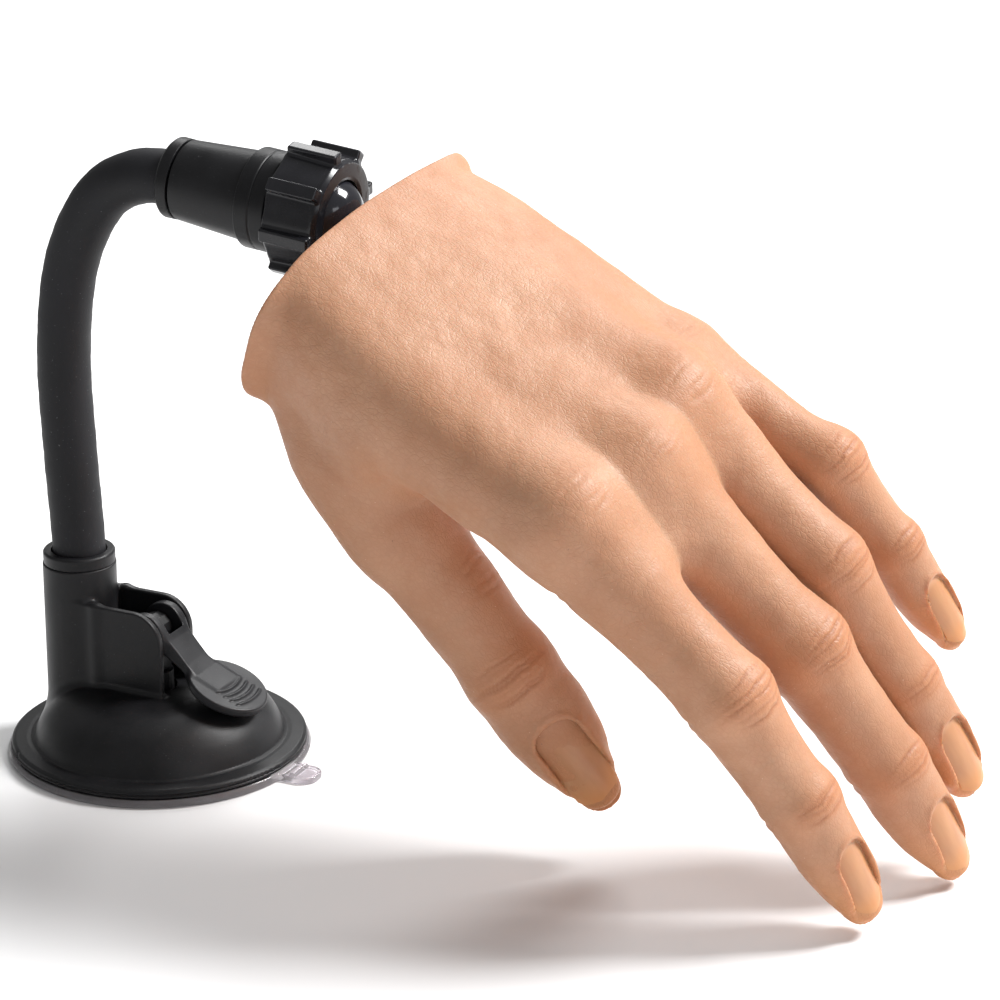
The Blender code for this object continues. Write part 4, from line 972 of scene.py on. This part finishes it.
def pad_field(p):
    disc = turned_field(p, [(0, 0.0), (33.3, 0.0), (33.8, 0.45), (33.8, 1.1), (33.2, 1.6), (0, 1.6)])
    lifted = 0.25 * np.exp(-((np.hypot(p[:, 0], p[:, 1]) - 33.2) / 0.5) ** 2) * (p[:, 2] > 0.8)
    disc = disc - lifted
    disc = smax(disc, -np.maximum(np.hypot(p[:, 0], p[:, 1]) - 8.9, 0.35 - p[:, 2]), 0.1)   # room for the stem's foot
    u, v = p[:, 0], p[:, 1] + 1.0
    plan = np.hypot(np.maximum(np.maximum(np.abs(u - 33.5) - (7.5 - 3.4), 0), 0), np.maximum(np.abs(v) - (4.0 - 3.4), 0)) - 3.4
    rim = 0.22 * np.exp(-((plan + 0.45) / 0.35) ** 2)
    tab = slab_field(plan, p[:, 2] - 0.75, 0.55 + rim, 0.2)
    bar = box_field(p, (35.4, -4.4, 0.9), (36.7, 2.4, 2.15), 0.4)
    return smin(smin(disc, tab, 0.4), bar, 0.4)


ob = field_piece("pad", pad_field, (-35.0, -35.0, -0.6), (42.2, 35.0, 2.9), 0.33, CLEAR, steps=2)
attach(ob, "base")
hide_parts("suction_pad")

# ---- lever: two ears, neck and ridged thumb pad, in the pin's frame
PIN_X, PIN_Z, EAR_R, STROKE = -0.9, 28.1, 5.7, 1.4
tilt = radians(23.0)
TX, TZ = 17.8 - PIN_X, 18.5 - 1.05 - PIN_Z


def ear_radius(deg):
    if -170.0 <= deg <= -90.0:
        return EAR_R - STROKE * (-90.0 - deg) / 80.0
    if deg < -170.0 or deg > 150.0:
        return EAR_R - STROKE
    return EAR_R - STROKE * (deg - 60.0) / 90.0 if deg > 60.0 else EAR_R


EARS = [(ear_radius(d) * cos(radians(d)), ear_radius(d) * sin(radians(d))) for d in range(-180, 180, 6)]
NECK = [(3.0, 3.6), (5.2, 1.6), (TX - 5.5, TZ + 5.5 * tan(tilt) + 0.9), (TX, TZ + 0.9), (TX, TZ - 0.9), (TX - 6.5, TZ + 6.5 * tan(tilt) - 0.9), (4.2, -2.6), (2.0, -3.4)]


def lever_field(p):
    xz = p[:, [0, 2]]
    ears = slab_field(polygon(xz, EARS), p[:, 1], 5.3, 0.35)
    half = 5.0 - 0.6 * ramp(p[:, 0], 4.0, 9.0)
    neck = slab_field(polygon(xz, NECK), p[:, 1], half, 0.5)
    q0, q2 = p[:, 0] - TX, p[:, 2] - TZ
    a, c = q0 * cos(tilt) - q2 * sin(tilt), q0 * sin(tilt) + q2 * cos(tilt)
    dish = 0.35 * np.exp(-((a + 1.0) ** 2 + p[:, 1] ** 2) / 40.0) * (c > 0)
    disc = slab_field(np.hypot(a, p[:, 1]) - 9.2, c, 1.05 - dish, 0.55)
    ridge = np.zeros(len(p))
    for k in range(4):
        line = 1.0 + 1.75 * k - 0.035 * p[:, 1] ** 2
        ridge += np.exp(-((a - line) / 0.34) ** 2) * ramp(5.6 - np.abs(p[:, 1]), 0.0, 1.2)
    disc = disc - 0.40 * ridge * ramp(c, 0.2, 0.8)
    d = smin(smin(ears, neck, 1.4), disc, 1.6)
    slot = box_field(p, (-9, -3.05, -9), (5.9, 3.05, 9), 0.3)
    d = smax(d, -slot, 0.3)
    return smax(d, -(np.hypot(p[:, 0], p[:, 2]) - 1.65), 0.15)


lever_at = mov(PIN_X, 0, PIN_Z)
ob = field_piece("lever", lever_field, (-7.0, -10.2, -16.5), (29.5, 10.2, 7.0), 0.27, LEVER, lever_at)
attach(ob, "lever")
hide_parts("lock_lever")

# ================================================================ flexible arm
ARM_PATH = [(-19.4, 27.0), (-19.4, 46.0), (-20.6, 67.0), (-21.2, 90.0), (-18.2, 111.0), (-10.4, 126.0), (-0.5, 132.2), (11.0, 133.0)]
ARM = smooth_line(ARM_PATH, 16)
RUN = np.concatenate([[0], np.cumsum(np.linalg.norm(np.diff(ARM, axis=0), axis=1))])
S0, S1 = 24.5, RUN[-1] - 6.0
JOINT_S = [S0 + (S1 - S0) / 6 * k for k in range(7)]


def arm_at(s):
    return np.stack([np.interp(s, RUN, ARM[:, 0]), np.zeros_like(s), np.interp(s, RUN, ARM[:, 1])], -1)


stations = np.arange(0.0, RUN[-1] + 1.6, 0.75)
centre = arm_at(np.minimum(stations, RUN[-1]))
centre[stations > RUN[-1]] += (arm_at(np.array([RUN[-1]])) - arm_at(np.array([RUN[-1] - 1.0]))) * (stations[stations > RUN[-1]] - RUN[-1])[:, None]
tangent = np.gradient(centre, axis=0)
for _ in range(6):
    tangent[1:-1] = (tangent[:-2] + 2 * tangent[1:-1] + tangent[2:]) / 4
tangent /= np.linalg.norm(tangent, axis=1)[:, None]
across = np.array((0.0, 1.0, 0.0))
updir = np.cross(tangent, across)
sides = 64
ang = np.arange(sides) * 2 * pi / sides
radius = 5.9 + 0.035 * np.sin(stations * 0.9) + 0.02 * np.sin(stations * 2.3)
ring_dir = updir[:, None, :] * np.cos(ang)[None, :, None] + across * np.sin(ang)[None, :, None]
tube = centre[:, None, :] + ring_dir * radius[:, None, None]
rest_tube = np.stack([np.repeat(stations[:, None], sides, 1), 5.9 * np.cos(ang)[None] + 0 * stations[:, None], 5.9 * np.sin(ang)[None] + 0 * stations[:, None]], -1)
cuts = [0.0] + [(a + b) / 2 for a, b in zip(JOINT_S, JOINT_S[1:])] + [stations[-1]]
cut_rows = [int(np.argmin(np.abs(stations - c))) for c in cuts]
for k in range(7):
    i0, i1 = cut_rows[k], cut_rows[k + 1]
    rows = np.arange(i0, i1 + 1)
    n = len(rows)
    idx = np.arange(n * sides).reshape(n, sides)
    nxt = np.roll(idx, -1, 1)
    quads = np.stack([idx[:-1], nxt[:-1], nxt[1:], idx[1:]], -1).reshape(-1, 4)
    pts, nr = tube[rows].reshape(-1, 3), ring_dir[rows].reshape(-1, 3)
    a, b, c = pts[quads[0, 0]], pts[quads[0, 1]], pts[quads[0, 2]]
    if np.cross(b - a, c - a) @ nr[0] < 0:
        quads = quads[:, ::-1].copy()
    ob = new_object("gooseneck_%d" % (k + 1), pts, quads, nr, RUBBER, None, rest_tube[rows].reshape(-1, 3))
    w = ramp(np.repeat(stations[rows], sides), JOINT_S[k] - 6.5, JOINT_S[k] + min(6.5, stations[-1] - JOINT_S[k]))
    w[:sides] = 0.0
    w[-sides:] = 1.0
    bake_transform(ob)
    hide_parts(*(["arm_sleeve_%d" % k] + (["arm_sleeve_7"] if k == 6 else [])))

# ================================================================ bushes and head
def bush_field(profile, slot_deg):
    def f(p):
        d = turned_field(p, profile)
        a = radians(slot_deg)
        side = -p[:, 0] * sin(a) + p[:, 1] * cos(a)
        front = p[:, 0] * cos(a) + p[:, 1] * sin(a)
        cut = np.maximum(np.abs(side) - 0.3, -front)
        return smax(d, -cut, 0.12)
    return f


lower = [(8.0, POST_TOP + 0.3), (8.05, POST_TOP + 2.7), (7.7, POST_TOP + 3.15), (6.25, POST_TOP + 3.15), (6.25, POST_TOP - 9.0), (6.9, POST_TOP - 9.0), (6.9, POST_TOP + 0.3)]
ob = field_piece("post_bush", bush_field(lower, 160.0), (-9.0, -9.0, 31.4), (9.0, 9.0, 45.4), 0.28, MOULDED, mov(POST_X, 0, 0))
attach(ob, "base")
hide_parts("lower_bush")
upper = [(6.25, -0.45), (8.7, -0.45), (8.75, -2.8), (8.2, -3.4), (6.25, -3.4)]
ob = field_piece("head_bush", bush_field(upper, 200.0), (-9.6, -9.6, -4.4), (9.6, 9.6, 0.6), 0.28, MOULDED, HEAD)
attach(ob, "head")
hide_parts("upper_bush")

socket = [(6.35, 8.0), (6.35, 0.0), (8.65, 0.0), (9.75, 16.7), (9.9, 17.0), (10.8, 17.0), (10.8, 20.2), (10.55, 20.5), (10.8, 20.8), (10.8, 24.0), (9.9, 24.2), (9.9, 27.0), (4.0, 27.0), (4.0, 8.0)]
ob = lathe("socket", socket, MOULDED, HEAD, 160, ring=True, r=0.3)
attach(ob, "head")
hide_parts("head_socket")

NUT = [(10.35, 24.8), (12.7, 24.8), (13.0, 25.4), (12.75, 31.0), (12.45, 36.2), (11.7, 37.2), (8.6, 37.2), (7.8, 36.9), (8.25, 36.2), (8.85, 34.3), (10.35, 33.6)]


def nut_field(p):
    d = turned_field(p, NUT)
    rr = np.hypot(p[:, 0], p[:, 1])
    th = np.arctan2(p[:, 1], p[:, 0])
    step = 2 * pi / 8
    phase = (th - 0.25 * step + step / 2) % step - step / 2
    u, v = rr * np.cos(phase), rr * np.sin(phase)
    hollow = 0.38 * np.exp(-((np.abs(phase) - step / 2) / 0.22) ** 2) * ramp(36.6 - p[:, 2], 0.0, 1.5) * (rr > 11.5)
    d = d + hollow
    q = np.stack([u - 12.4, v, p[:, 2] - 30.95], 1)
    wide = 1.3 + 0.1 * (u - 12.4)
    b = np.stack([np.abs(q[:, 0]) - 2.2 + 0.5, np.abs(q[:, 1]) - wide + 0.5, np.abs(q[:, 2]) - 5.75 + 0.5], 1)
    rib = np.sqrt((np.maximum(b, 0) ** 2).sum(1)) + np.minimum(b.max(1), 0) - 0.5
    d = smin(d, rib, 0.7)
    hole = turned_field(p, [(0, 20.0), (10.35, 20.0), (10.35, 33.6), (8.85, 34.3), (8.25, 36.2), (7.8, 36.9), (7.9, 39.0), (0, 39.0)])
    return smax(d, -hole, 0.15)


ob = field_piece("nut", nut_field, (-15.6, -15.6, 24.0), (15.6, 15.6, 38.2), 0.26, GLOSS, HEAD)
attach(ob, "nut")
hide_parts("clamp_nut")

arc = [(BALL_R * cos(radians(a)), BALL_R * sin(radians(a))) for a in np.linspace(-90, 90, 61)]
arc[0], arc[-1] = (0.0, -BALL_R), (0.0, BALL_R)
BALL_M = HAND @ mov(BX, BY, BZ) @ rot("Y", 90)
ob = lathe("ball", arc, BALL, BALL_M, 96, r=0)
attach(ob, "ball")
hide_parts("joint_ball")
WALL = WRIST_X - BX
NUT_AT = 38.0 - BX
stem_line = [(0, BALL_R + 0.2), (2.8, BALL_R + 0.2), (3.2, WALL - 4.0), (4.4, WALL - 2.3), (7.4, WALL - 1.7), (7.4, WALL - 0.7), (7.0, WALL - 0.3), (2.5, WALL - 0.3), (2.5, NUT_AT + 4.8), (2.2, NUT_AT + 5.2), (0, NUT_AT + 5.2)]
ob = lathe("stud", stem_line, GLOSS, BALL_M, 64, r=0.25)
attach(ob, "stud")
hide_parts("ball_stud")

# ================================================================ inner pieces keep their shape
INNER = {"pad_stem": MOULDED_CAD, "return_spring": STEEL, "lever_pin": STEEL, "stud_nut": STEEL, "ball_collet": NYLON, "palm_frame": NYLON, "thumb_metacarpal": NYLON}
for name, ob in NODES.items():
    mat = INNER.get(name) or (STEEL if name.startswith("arm_core") else NYLON if name.endswith("_bone") else None)
    if mat is None:
        mat = RUBBER_CAD if name.startswith("arm_sleeve") else MOULDED_CAD
    ob.data.materials.clear()
    ob.data.materials.append(mat)

# ================================================================ floor, light
def stage_material():
    n = Nodes("pale_floor", False)
    grain = n.noise(6.0, 3.0, 0.5)
    n.link(n.mix(grain, (0.91, 0.91, 0.915), (0.94, 0.94, 0.94)), n.bsdf.inputs["Base Color"])
    n.set(Roughness=0.75)
    return n.mat


bm = bmesh.new()
bmesh.ops.create_grid(bm, x_segments=8, y_segments=8, size=3.0)
me = bpy.data.meshes.new("floor")
bm.to_mesh(me)
bm.free()
me.materials.append(stage_material())
floor = bpy.data.objects.new("floor", me)
bpy.context.scene.collection.objects.link(floor)

world = bpy.data.worlds.new("studio")
bpy.context.scene.world = world
world.use_nodes = True
world.node_tree.nodes["Background"].inputs["Color"].default_value = (1.0, 1.0, 1.0, 1.0)
world.node_tree.nodes["Background"].inputs["Strength"].default_value = 0.31


def softbox(name, at, target, size, power, colour=(1, 1, 1)):
    data = bpy.data.lights.new(name, "AREA")
    data.shape, data.size, data.size_y = "RECTANGLE", size[0], size[1]
    data.energy, data.color = power, colour
    ob = bpy.data.objects.new(name, data)
    ob.location = at
    ob.rotation_euler = (Vector(target) - Vector(at)).to_track_quat("-Z", "Y").to_euler()
    bpy.context.scene.collection.objects.link(ob)


view_right = Vector((cos(radians(26)), sin(radians(26)), 0))
view_back = Vector((-sin(radians(26)), cos(radians(26)), 0))
middle = Vector((0.05, -0.01, 0.07))
softbox("key", middle + view_right * 1.5 + view_back * 0.35 + Vector((0, 0, 1.75)), middle, (0.8, 0.8), 84.0)
softbox("rim", middle + view_right * 0.2 + view_back * 1.1 + Vector((0, 0, 0.9)), middle, (0.7, 0.5), 8.0)
softbox("fill", middle + view_right * 0.9 - view_back * 1.2 + Vector((0, 0, 0.5)), middle, (0.5, 0.7), 3.0, (0.93, 0.95, 1.0))
